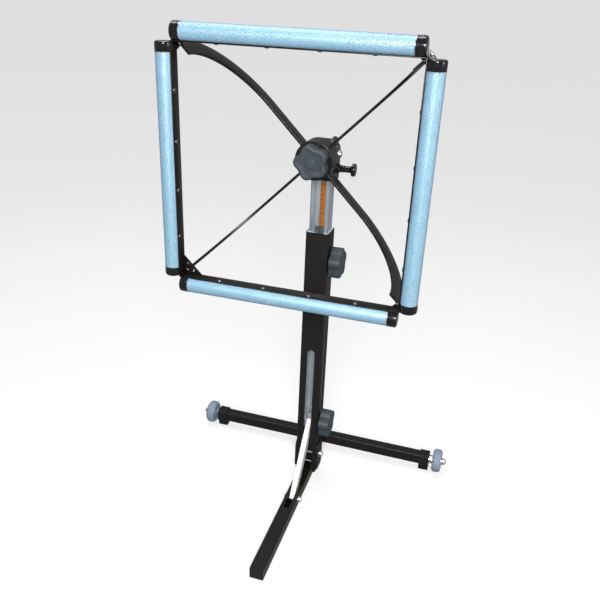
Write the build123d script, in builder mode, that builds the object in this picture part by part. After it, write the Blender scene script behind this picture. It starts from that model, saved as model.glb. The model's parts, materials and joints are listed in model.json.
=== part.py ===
"""Square work frame on a height-adjustable floor stand with a folding front leg.

Units are millimetres. +X is to the right, -Y is to the front (the side of the folding leg and of
the frame) and +Z is up. The origin is on the floor, under the centre of the mast.
"""

import os
from math import cos, radians, sin, sqrt

from build123d import *

os.makedirs("parts", exist_ok=True)

# ---- Mast: a slotted square tube with a plated square tube sliding inside it ----
mast_width = 50.0
mast_wall = 2.5
mast_top = 637.0
mast_base = 20.0
mast_corner = 4.0
mast_slot_gap = 3.25
slot_spare = 8.0
stop_screw_rise = 28.0
stop_head_height = 1.6
stop_screw_length = 10.0
mouth_top_gap = 1.0
cut_margin = 1.0

inner_wall = 2.0
inner_corner = 3.0
inner_exposed = 111.0
inner_overlap = 145.0
glide_wall = 2.35
glide_length = 40.0
glide_gap = 0.15
glide_chamfer = 1.5
foot_height = 8.0
foot_plug_length = 15.0
foot_chamfer = 2.0
plug_gap = 0.1
plug_corner = 1.5

scale_width = 11.0
scale_center_x = 7.0
scale_thickness = 0.6
scale_overlap = 97.0
scale_top_margin = 1.0
scale_side_gap = 0.8
cursor_width = 19.0
cursor_center_x = 3.5
cursor_height = 16.0
cursor_fillet = 2.0

# ---- Head: a clevis, a tilt barrel with its index disc, and the spindle of the frame ----
hub_rise = 52.0
barrel_radius = 29.0
barrel_half_length = 17.0
boss_radius = 24.0
disc_radius = 34.0
disc_thickness = 4.0
index_circle_radius = 28.5
index_step = 15.0
index_hole_radius = 3.2
cheek_thickness = 6.0
cheek_inner_x = 22.0
head_base_height = 8.0
head_corner = 2.0
tilt_bolt_radius = 5.0
spindle_radius = 8.0
spindle_thread_radius = 6.0
friction_washer_radius = 14.0
spindle_bolt_gap = 4.0
nut_washer_thickness = 1.5
tilt_nut_height = 4.0
tilt_nut_dome = 3.0
plunger_radius = 3.0
plunger_knob_radius = 13.0
plunger_stem_radius = 6.5
plunger_hex_radius = 9.5
plunger_hex_length = 5.0
plunger_barrel_radius = 7.0
plunger_cap_fillet = 3.0
spring_seat = 3.0
spring_end_gap = 1.0
spring_wall_gap = 0.2
spring_pin_gap = 0.4

# ---- Frame: four round tubes and their straps on two bowed cross arms ----
frame_y = -227.0
tube_offset = 227.0
tube_radius = 15.7
sleeve_wall = 1.2
core_wall = 2.0
corner_gap = 0.4
cap_length = 17.0
cap_lip = 0.3
cap_rim_fillet = 1.5
strap_thickness = 1.5
strap_gap = 0.1
strap_screw_inset = 8.0
screw_pitch = 88.0
screws_per_tube = 4
screw_radius = 2.5
gusset_leg = 17.0
lower_left_leg = 36.0
gusset_rim = 10.0
gusset_thickness = 3.0
set_screw_length = 10.0
set_screw_proud = 1.2

arm_y = -58.0
arm_width = 30.0
arm_thickness = 5.0
arm_corner_inset = 2.0
drum_radius = 38.0
drum_front_y = -79.0
drum_back_y = -38.0
drum_fillet = 2.0
arm_socket_depth = 8.0

# ---- Star knobs ----
knob_radius = 34.0
knob_lobe_radius = 13.0
knob_core_radius = 27.0
knob_thickness = 24.0
knob_lobes = 5
knob_rim_fillet = 2.5
frame_knob_turn = 36.0
side_knob_turn = 90.0
frame_knob_web = 4.0
side_knob_web = 8.0
stud_end_gap = 2.0

height_knob_drop = 68.0
knob_stud_radius = 5.0
stud_boss_radius = 9.0
stud_boss_height = 4.0
knob_wall_gap = 0.5
pad_rim = 1.5
pad_wall_gap = 0.5

# ---- Base: crossbar, shoes, wheels and the spine that carries them ----
crossbar_size = 25.4
crossbar_wall = 2.0
crossbar_corner = 2.5
plug_edge = 0.5
crossbar_half_length = 286.0
crossbar_y = 112.0
spine_width = 20.0
spine_wall = 2.0
shoe_length = 24.0
shoe_wall = 3.0
shoe_corner = 5.0
shoe_foot_angle = 100.0
wheel_radius = 28.5
wheel_lift = 2.5
wheel_width = 22.0
wheel_spacing = 9.0
wheel_rim_fillet = 3.0
axle_radius = 4.0
axle_nut_radius = 8.0
axle_nut_hex = 6.05
axle_nut_dome = 4.95
axle_nut_gap = 1.0
axle_end_cover = 3.0
spacer_gap = 0.5

# ---- Front leg, folding upwards about the hinge bolt ----
leg_width = 30.0
leg_height = 28.0
leg_wall = 2.0
leg_front_y = -358.0
leg_back_y = 3.0
leg_corner = 2.5
leg_inner_corner = 1.0
leg_slot_front_reach = 48.0
leg_slot_back_reach = 54.0
leg_cap_thickness = 3.0
leg_cap_plug = 12.0
hinge_z = 60.0
hinge_bolt_radius = 4.0
ear_thickness = 3.0
ear_half_depth = 20.0
ear_top_margin = 12.0
ear_foot_rise = 6.0
hinge_cheek_thickness = 3.0
hinge_cheek_top = 98.0
hinge_cheek_fillet = 12.0
hinge_cheek_rise = 2.0
hinge_cheek_margin = 3.0
hinge_nut_height = 6.0
leg_nut_height = 5.0
bolt_head_height = 4.0
bolt_end = 2.0
mouth_clearance = 1.5

# ---- Brace strut, its pin in the leg and its slider in the mast ----
strut_pin_y = -124.0
strut_pin_z = 15.0
strut_pin_radius = 3.0
slider_z = 157.0
slider_half_height = 15.0
slider_gap = 0.4
strut_thickness = 11.0
strut_eye_radius = 13.0
strut_front_depth = 10.0
strut_back_depth = 8.0
strut_arch_depth = 20.0
strut_slot_gap = 1.0
strut_lug = 5.0
saddle_step = 1.0
saddle_slope = 7.5
slider_front_depth = 14.0
slider_pocket_depth = 17.0
slider_chamfer = 2.0
pivot_end_gap = 1.0
clamp_washer_radius = 12.0
clamp_washer_thickness = 2.5
fold_angle = 80.0
pivot_bolt_radius = 5.0
side_slot_width = 11.0
side_slot_spare = 30.0

shaft_clearance = 0.05
running_gap = 0.3
washer_gap = 0.2

# ---- Places worked out from the sizes above ----
mast_half = mast_width / 2
mast_inside_half = mast_half - mast_wall
inner_half = mast_inside_half - glide_wall - glide_gap
inner_width = 2 * inner_half
inner_top = mast_top + inner_exposed
inner_base = mast_top - inner_overlap
scale_bottom = mast_top - scale_overlap
scale_top = inner_top - scale_top_margin
hub_z = inner_top + hub_rise
height_knob_z = mast_top - height_knob_drop
slot_width = strut_thickness + 2 * mast_slot_gap
leg_half = leg_width / 2
knob_boss_top_x = mast_half + stud_boss_height
height_knob_x = knob_boss_top_x + knob_wall_gap
clamp_washer_x = mast_half + washer_gap
brace_knob_x = clamp_washer_x + clamp_washer_thickness + knob_wall_gap
crossbar_z = wheel_radius + wheel_lift
wheel_center_x = crossbar_half_length + wheel_spacing + wheel_width / 2
cap_radius = tube_radius + cap_lip
core_radius = tube_radius - sleeve_wall
core_bore = core_radius - core_wall
tube_half_length = tube_offset - cap_radius - corner_gap
strap_outer = tube_offset - core_radius - shaft_clearance
strap_inner = strap_outer - strap_thickness
strap_front_y = frame_y - strap_screw_inset
strap_depth = strap_screw_inset + cap_radius
strap_back_y = strap_front_y + strap_depth
strap_y = (strap_front_y + strap_back_y) / 2
gusset_back_y = strap_back_y + gusset_thickness
arm_end_middle = strap_outer * sqrt(2) - arm_corner_inset - arm_width / 2
arm_bend_radius = arm_y - gusset_back_y
arm_flat = arm_end_middle - arm_bend_radius
disc_outer_x = barrel_half_length + disc_thickness
cheek_depth = inner_width
cheek_outer_x = cheek_inner_x + cheek_thickness
sleeve_half_length = tube_half_length - cap_length

# The brace strut's length and its fold, from the leg pin's path about the hinge bolt.
strut_length = sqrt(strut_pin_y**2 + (slider_z - strut_pin_z) ** 2)
fold_cos, fold_sin = cos(radians(fold_angle)), sin(radians(fold_angle))
folded_pin_y = strut_pin_y * fold_cos + (strut_pin_z - hinge_z) * fold_sin
folded_pin_z = hinge_z - strut_pin_y * fold_sin + (strut_pin_z - hinge_z) * fold_cos
folded_slider_z = folded_pin_z + sqrt(strut_length**2 - folded_pin_y**2)
slider_travel = folded_slider_z - slider_z
slot_top = folded_slider_z + slot_spare
stop_screw_z = slot_top + stop_screw_rise
side_slot_length = slider_travel + side_slot_spare


def save(builder, name):
    """Label a finished piece and write it."""
    builder.part.label = name
    export_step(builder.part, f"parts/{name}.step")


def square_tube(size, wall, corner):
    """The section of a square tube with rounded outer corners."""
    RectangleRounded(size, size, corner)
    RectangleRounded(size - 2 * wall, size - 2 * wall, max(corner - wall, 0.5), mode=Mode.SUBTRACT)


def star_outline(turn):
    """The outline of a star knob: round lobes on a round core, the first lobe at an angle."""
    Circle(knob_core_radius)
    with PolarLocations(knob_radius - knob_lobe_radius, knob_lobes, start_angle=turn):
        Circle(knob_lobe_radius)


def star_knob(face_plane, turn, bore_radius, bore_depth, name):
    """A star knob standing on face_plane, with a blind bore for its stud."""
    with BuildPart() as knob:
        with BuildSketch(face_plane):
            star_outline(turn)
        extrude(amount=knob_thickness)
        top = knob.faces().sort_by(Axis(face_plane.origin, face_plane.z_dir))[-1]
        fillet(top.edges(), knob_rim_fillet)
        with BuildSketch(face_plane):
            Circle(bore_radius)
        extrude(amount=bore_depth, mode=Mode.SUBTRACT)
    save(knob, name)


# ================================ Mast ================================

# The square outer tube: a slot with a round top for the brace strut, a mouth at its foot for the
# folding leg, a side slot for the brace knob's bolt, and holes for the hinge bolt and the screws.
mouth_width = leg_width + 2 * mouth_clearance
mouth_top = hinge_z + sqrt(ear_half_depth**2 + ear_top_margin**2) + mouth_top_gap
with BuildPart() as outer_mast:
    with BuildSketch(Plane.XY.offset(mast_base)):
        square_tube(mast_width, mast_wall, mast_corner)
    extrude(amount=mast_top - mast_base)
    with BuildSketch(Plane.XZ.offset(mast_inside_half - cut_margin)):
        with Locations((0, (slot_top + mast_base) / 2)):
            SlotOverall(slot_top - mast_base, slot_width, rotation=90)
        with Locations((0, mast_base)):
            Rectangle(mouth_width, mouth_top - mast_base, align=(Align.CENTER, Align.MIN))
    extrude(amount=mast_wall + 2 * cut_margin, mode=Mode.SUBTRACT)
    with BuildSketch(Plane.YZ.offset(mast_inside_half - cut_margin)):
        with Locations((0, slider_z + side_slot_length / 2)):
            SlotCenterToCenter(side_slot_length, side_slot_width, rotation=90)
        with Locations((0, height_knob_z)):
            Circle(knob_stud_radius + shaft_clearance)
    extrude(amount=mast_wall + 2 * cut_margin, mode=Mode.SUBTRACT)
    with BuildSketch(Plane.YZ):
        with Locations((0, hinge_z)):
            Circle(hinge_bolt_radius + shaft_clearance)
    extrude(amount=mast_width, both=True, mode=Mode.SUBTRACT)
    with BuildSketch(Plane.XZ):
        with Locations((0, stop_screw_z)):
            Circle(screw_radius)
    extrude(amount=mast_width, mode=Mode.SUBTRACT)
save(outer_mast, "outer_mast")

# A plastic glide in the mouth of the mast, grooved for the scale.
groove_width = scale_width + 2 * scale_side_gap
with BuildPart() as mast_glide:
    with BuildSketch(Plane.XY.offset(mast_top - glide_length)):
        Rectangle(2 * mast_inside_half, 2 * mast_inside_half)
        chamfer(vertices(), glide_chamfer)
        Rectangle(inner_width + 2 * glide_gap, inner_width + 2 * glide_gap, mode=Mode.SUBTRACT)
        with Locations((scale_center_x, -inner_half)):
            Rectangle(groove_width, 2 * (scale_thickness + running_gap), mode=Mode.SUBTRACT)
    extrude(amount=glide_length)
save(mast_glide, "mast_glide")

# The smoked cursor block on the rim, through which the scale is read.
cursor_back_y = -inner_half - scale_thickness - 2 * running_gap
with BuildPart() as scale_cursor:
    with BuildSketch(Plane.XY.offset(mast_top)):
        with Locations((cursor_center_x, -mast_half)):
            Rectangle(cursor_width, mast_half + cursor_back_y, align=(Align.CENTER, Align.MIN))
    extrude(amount=cursor_height)
    fillet(scale_cursor.edges().filter_by(Axis.Y).group_by(Axis.Z)[-1], cursor_fillet)
save(scale_cursor, "scale_cursor")

# The stop screw that the foot of the inner mast comes down to.
with BuildPart() as stop_screw:
    with BuildSketch(Plane.XZ.offset(mast_half)):
        with Locations((0, stop_screw_z)):
            Circle(1.8 * screw_radius)
    extrude(amount=stop_head_height)
    with BuildSketch(Plane.XZ.offset(mast_half)):
        with Locations((0, stop_screw_z)):
            Circle(screw_radius)
    extrude(amount=-stop_screw_length)
save(stop_screw, "stop_screw")

# The welded boss in which the height knob's stud turns.
with BuildPart() as clamp_boss:
    with BuildSketch(Plane.YZ.offset(mast_half)):
        with Locations((0, height_knob_z)):
            Circle(stud_boss_radius)
            Circle(knob_stud_radius + shaft_clearance, mode=Mode.SUBTRACT)
    extrude(amount=stud_boss_height)
save(clamp_boss, "clamp_boss")

# ================================ Inner mast ================================

tube_bottom = inner_base + foot_height
foot_width = 2 * (mast_inside_half - running_gap)
with BuildPart() as inner_mast:
    with BuildSketch(Plane.XY.offset(tube_bottom)):
        square_tube(inner_width, inner_wall, inner_corner)
    extrude(amount=inner_top - tube_bottom)
save(inner_mast, "inner_mast")

plug_width = inner_width - 2 * inner_wall - plug_gap
with BuildPart() as inner_foot:
    with BuildSketch(Plane.XY.offset(inner_base)):
        Rectangle(foot_width, foot_width)
        chamfer(vertices(), foot_chamfer)
    extrude(amount=foot_height)
    with BuildSketch(Plane.XY.offset(tube_bottom)):
        RectangleRounded(plug_width, plug_width, plug_corner)
    extrude(amount=foot_plug_length)
save(inner_foot, "inner_mast_foot")

with BuildPart() as height_scale:
    with BuildSketch(Plane.XZ.offset(inner_half)):
        with Locations((scale_center_x, (scale_bottom + scale_top) / 2)):
            Rectangle(scale_width, scale_top - scale_bottom)
    extrude(amount=scale_thickness)
save(height_scale, "height_scale")

# The clevis on top of the inner mast: a base with a plug, and two cheeks with round tops.
with BuildPart() as mast_head:
    with BuildSketch(Plane.XY.offset(inner_top - foot_plug_length)):
        RectangleRounded(plug_width, plug_width, plug_corner)
    extrude(amount=foot_plug_length)
    with BuildSketch(Plane.XY.offset(inner_top)):
        RectangleRounded(2 * cheek_outer_x, cheek_depth, head_corner)
    extrude(amount=head_base_height)
    for side in (-1, 1):
        with BuildSketch(Plane.YZ.offset(side * (cheek_inner_x + cheek_thickness / 2))):
            with Locations((0, hub_z)):
                Circle(cheek_depth / 2)
            with Locations((0, inner_top + head_base_height)):
                Rectangle(cheek_depth, hub_z - inner_top - head_base_height, align=(Align.CENTER, Align.MIN))
        extrude(amount=cheek_thickness / 2, both=True)
    with BuildSketch(Plane.YZ):
        with Locations((0, hub_z)):
            Circle(tilt_bolt_radius + shaft_clearance)
    extrude(amount=2 * cheek_outer_x, both=True, mode=Mode.SUBTRACT)
    with BuildSketch(Plane.YZ):
        with Locations((0, hub_z - index_circle_radius)):
            Circle(plunger_radius + shaft_clearance)
    extrude(amount=2 * cheek_outer_x, mode=Mode.SUBTRACT)
save(mast_head, "mast_head")

tilt_nut_x = cheek_outer_x + nut_washer_thickness
with BuildPart() as tilt_bolt:
    with BuildSketch(Plane.YZ.offset(-cheek_outer_x)):
        with Locations((0, hub_z)):
            RegularPolygon(1.8 * tilt_bolt_radius, 6)
    extrude(amount=-0.9 * tilt_bolt_radius)
    with BuildSketch(Plane.YZ.offset(-cheek_outer_x)):
        with Locations((0, hub_z)):
            Circle(tilt_bolt_radius)
    extrude(amount=cheek_outer_x + tilt_nut_x + tilt_nut_height)
save(tilt_bolt, "tilt_bolt")

with BuildPart() as tilt_nut:
    with BuildSketch(Plane.YZ.offset(cheek_outer_x)):
        with Locations((0, hub_z)):
            Circle(1.9 * tilt_bolt_radius)
            Circle(tilt_bolt_radius, mode=Mode.SUBTRACT)
    extrude(amount=nut_washer_thickness)
    with BuildSketch(Plane.YZ.offset(tilt_nut_x)):
        with Locations((0, hub_z)):
            RegularPolygon(1.65 * tilt_bolt_radius, 6)
            Circle(tilt_bolt_radius, mode=Mode.SUBTRACT)
    extrude(amount=tilt_nut_height)
    with BuildSketch(Plane.YZ.offset(tilt_nut_x + tilt_nut_height)):
        with Locations((0, hub_z)):
            Circle(1.3 * tilt_bolt_radius)
    extrude(amount=tilt_nut_dome, taper=25)
save(tilt_nut, "tilt_nut")

with BuildPart() as friction_washer:
    with BuildSketch(Plane.YZ.offset(-cheek_inner_x)):
        with Locations((0, hub_z)):
            Circle(friction_washer_radius)
            Circle(tilt_bolt_radius + shaft_clearance, mode=Mode.SUBTRACT)
    extrude(amount=cheek_inner_x - barrel_half_length - washer_gap)
save(friction_washer, "friction_washer")

# The spring plunger beside the tilt bolt: a hex housing, its spring, and the pin with its knob.
plunger_z = hub_z - index_circle_radius
housing_length = 16.0
spring_cavity_radius = 5.2
with BuildPart() as plunger_housing:
    with BuildSketch(Plane.YZ.offset(cheek_outer_x)):
        with Locations((0, plunger_z)):
            RegularPolygon(plunger_hex_radius, 6)
    extrude(amount=plunger_hex_length)
    with BuildSketch(Plane.YZ.offset(cheek_outer_x)):
        with Locations((0, plunger_z)):
            Circle(plunger_barrel_radius)
    extrude(amount=housing_length)
    with BuildSketch(Plane.YZ.offset(cheek_outer_x)):
        with Locations((0, plunger_z)):
            Circle(plunger_radius + shaft_clearance)
    extrude(amount=housing_length, mode=Mode.SUBTRACT)
    with BuildSketch(Plane.YZ.offset(cheek_outer_x + spring_seat)):
        with Locations((0, plunger_z)):
            Circle(spring_cavity_radius)
    extrude(amount=housing_length, mode=Mode.SUBTRACT)
save(plunger_housing, "plunger_housing")

with BuildPart() as plunger_spring:
    with BuildSketch(Plane.YZ.offset(cheek_outer_x + spring_seat)):
        with Locations((0, plunger_z)):
            Circle(spring_cavity_radius - spring_wall_gap)
            Circle(plunger_radius + spring_pin_gap, mode=Mode.SUBTRACT)
    extrude(amount=housing_length - spring_seat - spring_end_gap)
save(plunger_spring, "plunger_spring")

plunger_knob_x = cheek_outer_x + housing_length + running_gap
plunger_stem_length = 14.0
plunger_cap_thickness = 8.0
pin_socket = 12.0
with BuildPart() as plunger_pin:
    with BuildSketch(Plane.YZ.offset(disc_outer_x + running_gap)):
        with Locations((0, plunger_z)):
            Circle(plunger_radius)
    extrude(amount=plunger_knob_x + pin_socket - disc_outer_x - running_gap)
save(plunger_pin, "plunger_pin")

with BuildPart() as plunger_knob:
    with BuildSketch(Plane.YZ.offset(plunger_knob_x)):
        with Locations((0, plunger_z)):
            Circle(plunger_stem_radius)
    extrude(amount=plunger_stem_length)
    with BuildSketch(Plane.YZ.offset(plunger_knob_x + plunger_stem_length)):
        with Locations((0, plunger_z)):
            Circle(plunger_knob_radius)
    extrude(amount=plunger_cap_thickness)
    fillet(plunger_knob.faces().sort_by(Axis.X)[-1].edges(), plunger_cap_fillet)
    with BuildSketch(Plane.YZ.offset(plunger_knob_x)):
        with Locations((0, plunger_z)):
            Circle(plunger_radius)
    extrude(amount=pin_socket, mode=Mode.SUBTRACT)
save(plunger_knob, "plunger_knob")

# ================================ Tilting head ================================

boss_front_y = drum_back_y + running_gap
spindle_back_y = -tilt_bolt_radius - spindle_bolt_gap
with BuildPart() as tilt_barrel:
    with BuildSketch(Plane.YZ):
        with Locations((0, hub_z)):
            Circle(barrel_radius)
    extrude(amount=barrel_half_length, both=True)
    with BuildSketch(Plane.XZ):
        with Locations((0, hub_z)):
            Circle(boss_radius)
            Rectangle(2 * barrel_half_length, 4 * boss_radius, mode=Mode.INTERSECT)
    extrude(amount=-boss_front_y)
    with BuildSketch(Plane.YZ):
        with Locations((0, hub_z)):
            Circle(tilt_bolt_radius + shaft_clearance)
    extrude(amount=barrel_half_length, both=True, mode=Mode.SUBTRACT)
    with BuildSketch(Plane.XZ.offset(-spindle_back_y)):
        with Locations((0, hub_z)):
            Circle(spindle_radius)
    extrude(amount=spindle_back_y - drum_front_y, mode=Mode.SUBTRACT)
save(tilt_barrel, "tilt_barrel")

with BuildPart() as index_disc:
    with BuildSketch(Plane.YZ.offset(barrel_half_length)):
        with Locations((0, hub_z)):
            Circle(disc_radius)
            Circle(tilt_bolt_radius + shaft_clearance, mode=Mode.SUBTRACT)
            with PolarLocations(index_circle_radius, int(180 / index_step) + 1, 180, 180, endpoint=True):
                Circle(index_hole_radius, mode=Mode.SUBTRACT)
    extrude(amount=disc_thickness)
save(index_disc, "index_disc")

knob_back_y = drum_front_y - knob_wall_gap
thread_length = knob_thickness - frame_knob_web - stud_end_gap
with BuildPart() as spindle:
    with BuildSketch(Plane.XZ.offset(-spindle_back_y)):
        with Locations((0, hub_z)):
            Circle(spindle_radius)
    extrude(amount=spindle_back_y - drum_front_y)
    with BuildSketch(Plane.XZ.offset(-drum_front_y)):
        with Locations((0, hub_z)):
            Circle(spindle_thread_radius)
    extrude(amount=thread_length)
save(spindle, "spindle")

# ================================ Frame ================================

# Each arm lies in an upright plane through the spindle's axis, one falling to the right and one
# rising to the right. Its profile is straight by the hub and then bends forward to the corners.
arm_planes = {
    "cross_arm_falling": Plane(origin=(0, 0, hub_z), x_dir=(1, 0, -1), z_dir=(1, 0, 1)),
    "cross_arm_rising": Plane(origin=(0, 0, hub_z), x_dir=(1, 0, 1), z_dir=(-1, 0, 1)),
}
arm_root = drum_radius - arm_socket_depth
arm_bend_outer = arm_bend_radius + arm_width / 2


def arm_outline():
    """Half an arm: a quarter ring that ends on the gussets, and the straight run to the hub."""
    with Locations((arm_flat, gusset_back_y)):
        Circle(arm_bend_outer)
        Circle(arm_bend_outer - arm_width, mode=Mode.SUBTRACT)
        Rectangle(arm_bend_outer, arm_bend_outer, align=(Align.MIN, Align.MIN), mode=Mode.INTERSECT)
    with Locations((arm_root, arm_y)):
        Rectangle(arm_flat - arm_root, arm_width, align=(Align.MIN, Align.CENTER))


for arm_name, arm_plane in arm_planes.items():
    with BuildPart() as cross_arm:
        with BuildSketch(arm_plane):
            arm_outline()
        extrude(amount=arm_thickness / 2, both=True)
        mirror(about=Plane(origin=(0, 0, hub_z), z_dir=arm_plane.x_dir))
    save(cross_arm, arm_name)

with BuildPart() as hub_drum:
    with BuildSketch(Plane.XZ.offset(-drum_back_y)):
        with Locations((0, hub_z)):
            Circle(drum_radius)
    extrude(amount=drum_back_y - drum_front_y)
    fillet(hub_drum.faces().sort_by(Axis.Y)[0].edges(), drum_fillet)
    for arm_plane in arm_planes.values():
        with BuildSketch(arm_plane):
            for side in (-1, 1):
                with Locations((side * (arm_root + drum_radius), arm_y)):
                    Rectangle(2 * drum_radius, arm_width)
        extrude(amount=arm_thickness / 2, both=True, mode=Mode.SUBTRACT)
    with BuildSketch(Plane.XZ):
        with Locations((0, hub_z)):
            Circle(spindle_radius + shaft_clearance)
    extrude(amount=-drum_front_y, mode=Mode.SUBTRACT)
save(hub_drum, "hub_drum")


def side_plane(angle):
    """A plane on a tube's middle whose normal points to the frame's centre, x along the tube."""
    outward = (cos(radians(angle)), sin(radians(angle)))
    origin = (tube_offset * outward[0], frame_y, hub_z + tube_offset * outward[1])
    return Plane(origin=origin, x_dir=(-outward[1], 0, outward[0]), z_dir=(-outward[0], 0, -outward[1]))


def tube_end_plane(angle, distance):
    """A plane across a tube, at a distance from the tube's middle along it."""
    outward = (cos(radians(angle)), sin(radians(angle)))
    along = (-outward[1], outward[0])
    origin = (
        tube_offset * outward[0] + distance * along[0],
        frame_y,
        hub_z + tube_offset * outward[1] + distance * along[1],
    )
    return Plane(origin=origin, x_dir=(0, 1, 0), z_dir=(along[0], 0, along[1]))


def strap_seat(depth):
    """The room for a strap in a tube's section, from a distance off the tube's middle inwards."""
    with Locations((strap_y - frame_y, depth)):
        Rectangle(
            strap_depth + 2 * strap_gap, tube_radius, align=(Align.CENTER, Align.MIN), mode=Mode.SUBTRACT
        )


side_angles = {"right": 0, "top": 90, "left": 180, "bottom": 270}

for side_name, angle in side_angles.items():
    with BuildPart() as sleeve:
        with BuildSketch(tube_end_plane(angle, -sleeve_half_length)):
            Circle(tube_radius)
            Circle(core_radius, mode=Mode.SUBTRACT)
            strap_seat(core_radius - sleeve_wall / 2)
        extrude(amount=2 * sleeve_half_length)
    save(sleeve, f"patterned_sleeve_{side_name}")

with BuildPart() as tube_cores:
    for angle in side_angles.values():
        with BuildSketch(tube_end_plane(angle, -sleeve_half_length)):
            Circle(core_radius)
            Circle(core_bore, mode=Mode.SUBTRACT)
        extrude(amount=2 * sleeve_half_length)
    for angle in side_angles.values():
        with BuildSketch(side_plane(angle)):
            with GridLocations(screw_pitch, 1, screws_per_tube, 1):
                Circle(screw_radius)
        extrude(amount=core_radius, mode=Mode.SUBTRACT)
save(tube_cores, "tube_cores")

spigot_length = 12.0
set_screw_radius = 2.0
with BuildPart() as tube_caps:
    for angle in side_angles.values():
        for side in (-1, 1):
            with BuildPart() as tube_cap:
                with BuildSketch(tube_end_plane(angle, side * sleeve_half_length)):
                    Circle(cap_radius)
                    strap_seat(core_radius)
                extrude(amount=side * cap_length)
                cap_axis = Axis((0, 0, 0), tuple(side * tube_end_plane(angle, 0).z_dir))
                fillet(tube_cap.faces().sort_by(cap_axis)[-1].edges(), cap_rim_fillet)
                with BuildSketch(tube_end_plane(angle, side * sleeve_half_length)):
                    Circle(core_bore)
                extrude(amount=-side * spigot_length)
                with BuildSketch(side_plane(angle)):
                    with Locations((-tube_half_length + cap_length / 2, 0)):
                        Circle(set_screw_radius)
                extrude(amount=-2 * tube_radius, mode=Mode.SUBTRACT)
save(tube_caps, "tube_caps")

with BuildPart() as cap_set_screws:
    for angle in side_angles.values():
        with BuildSketch(side_plane(angle).offset(-cap_radius - set_screw_proud)):
            with Locations((-tube_half_length + cap_length / 2, 0)):
                Circle(set_screw_radius)
        extrude(amount=set_screw_length)
save(cap_set_screws, "cap_set_screws")

strap_offset = (strap_inner + strap_outer) / 2
with BuildPart() as frame_straps:
    for side in (-1, 1):
        with Locations((0, strap_y, hub_z + side * strap_offset)):
            Box(2 * strap_outer, strap_depth, strap_thickness)
        with Locations((side * strap_offset, strap_y, hub_z)):
            Box(strap_thickness, strap_depth, 2 * strap_inner)
    for angle in side_angles.values():
        with BuildSketch(side_plane(angle)):
            with GridLocations(screw_pitch, 1, screws_per_tube, 1):
                Circle(screw_radius)
        extrude(amount=2 * tube_radius, mode=Mode.SUBTRACT)
save(frame_straps, "frame_straps")

screw_head_radius = 4.2
screw_head_height = 2.4
corner_screw_radius = 1.5
corner_screw_head = 2.8
corner_screw_height = 1.8
corner_signs = ((1, 1), (-1, 1), (-1, -1), (1, -1))
plate_screw_spots = ((6.5, 6.5), (-3.0, -3.0))
lower_left_spots = ((7.0, 20.0), (20.0, 7.0))


def corner_screw_spots(sx, sz):
    """Where a corner's screws stand. The lower left corner has two more."""
    spots = plate_screw_spots + (lower_left_spots if (sx, sz) == (-1, -1) else ())
    return [(sx * (strap_outer - dx), hub_z + sz * (strap_outer - dz)) for dx, dz in spots]


# A plate behind each corner, to which the arm's end is welded. The lower left one is larger.
with BuildPart() as corner_gussets:
    for sx, sz in corner_signs:
        leg = lower_left_leg if (sx, sz) == (-1, -1) else gusset_leg
        outline = (
            (-leg, 0),
            (0, -leg),
            (gusset_rim, -gusset_rim),
            (gusset_rim, 0),
            (0, gusset_rim),
            (-gusset_rim, gusset_rim),
        )
        with BuildSketch(Plane.XZ.offset(-strap_back_y)):
            with BuildLine():
                Polyline(
                    *[(sx * (strap_outer + x), hub_z + sz * (strap_outer + z)) for x, z in outline],
                    close=True,
                )
            make_face()
            with Locations(*corner_screw_spots(sx, sz)):
                Circle(corner_screw_radius, mode=Mode.SUBTRACT)
        extrude(amount=-gusset_thickness)
save(corner_gussets, "corner_gussets")

with BuildPart() as gusset_screws:
    for sx, sz in corner_signs:
        with BuildSketch(Plane.XZ.offset(-strap_back_y)):
            with Locations(*corner_screw_spots(sx, sz)):
                Circle(corner_screw_head)
        extrude(amount=corner_screw_height)
        with BuildSketch(Plane.XZ.offset(-strap_back_y)):
            with Locations(*corner_screw_spots(sx, sz)):
                Circle(corner_screw_radius)
        extrude(amount=-gusset_thickness)
save(gusset_screws, "gusset_screws")

strap_screw_depth = tube_offset - strap_inner
strap_screw_reach = strap_screw_depth - core_bore
with BuildPart() as strap_screws:
    for angle in side_angles.values():
        with BuildSketch(side_plane(angle).offset(strap_screw_depth)):
            with GridLocations(screw_pitch, 1, screws_per_tube, 1):
                Circle(screw_head_radius)
        extrude(amount=screw_head_height)
        with BuildSketch(side_plane(angle).offset(strap_screw_depth)):
            with GridLocations(screw_pitch, 1, screws_per_tube, 1):
                Circle(screw_radius)
        extrude(amount=-strap_screw_reach)
save(strap_screws, "strap_screws")

# ================================ Star knobs ================================

star_knob(
    Plane(origin=(0, knob_back_y, hub_z), x_dir=(1, 0, 0), z_dir=(0, -1, 0)),
    frame_knob_turn,
    spindle_thread_radius + shaft_clearance,
    knob_thickness - frame_knob_web,
    "frame_knob",
)
star_knob(
    Plane(origin=(height_knob_x, 0, height_knob_z), x_dir=(0, 1, 0), z_dir=(1, 0, 0)),
    side_knob_turn,
    knob_stud_radius,
    knob_thickness - side_knob_web,
    "height_knob",
)
star_knob(
    Plane(origin=(brace_knob_x, 0, slider_z), x_dir=(0, 1, 0), z_dir=(1, 0, 0)),
    side_knob_turn,
    pivot_bolt_radius + shaft_clearance,
    knob_thickness - side_knob_web,
    "brace_knob",
)

pad_thickness = mast_inside_half - inner_half - pad_wall_gap
stud_start_x = inner_half + running_gap + pad_thickness
with BuildPart() as height_knob_stud:
    with BuildSketch(Plane.YZ.offset(stud_start_x)):
        with Locations((0, height_knob_z)):
            Circle(knob_stud_radius)
    extrude(amount=height_knob_x + knob_thickness - side_knob_web - stud_start_x)
save(height_knob_stud, "height_knob_stud")

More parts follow.
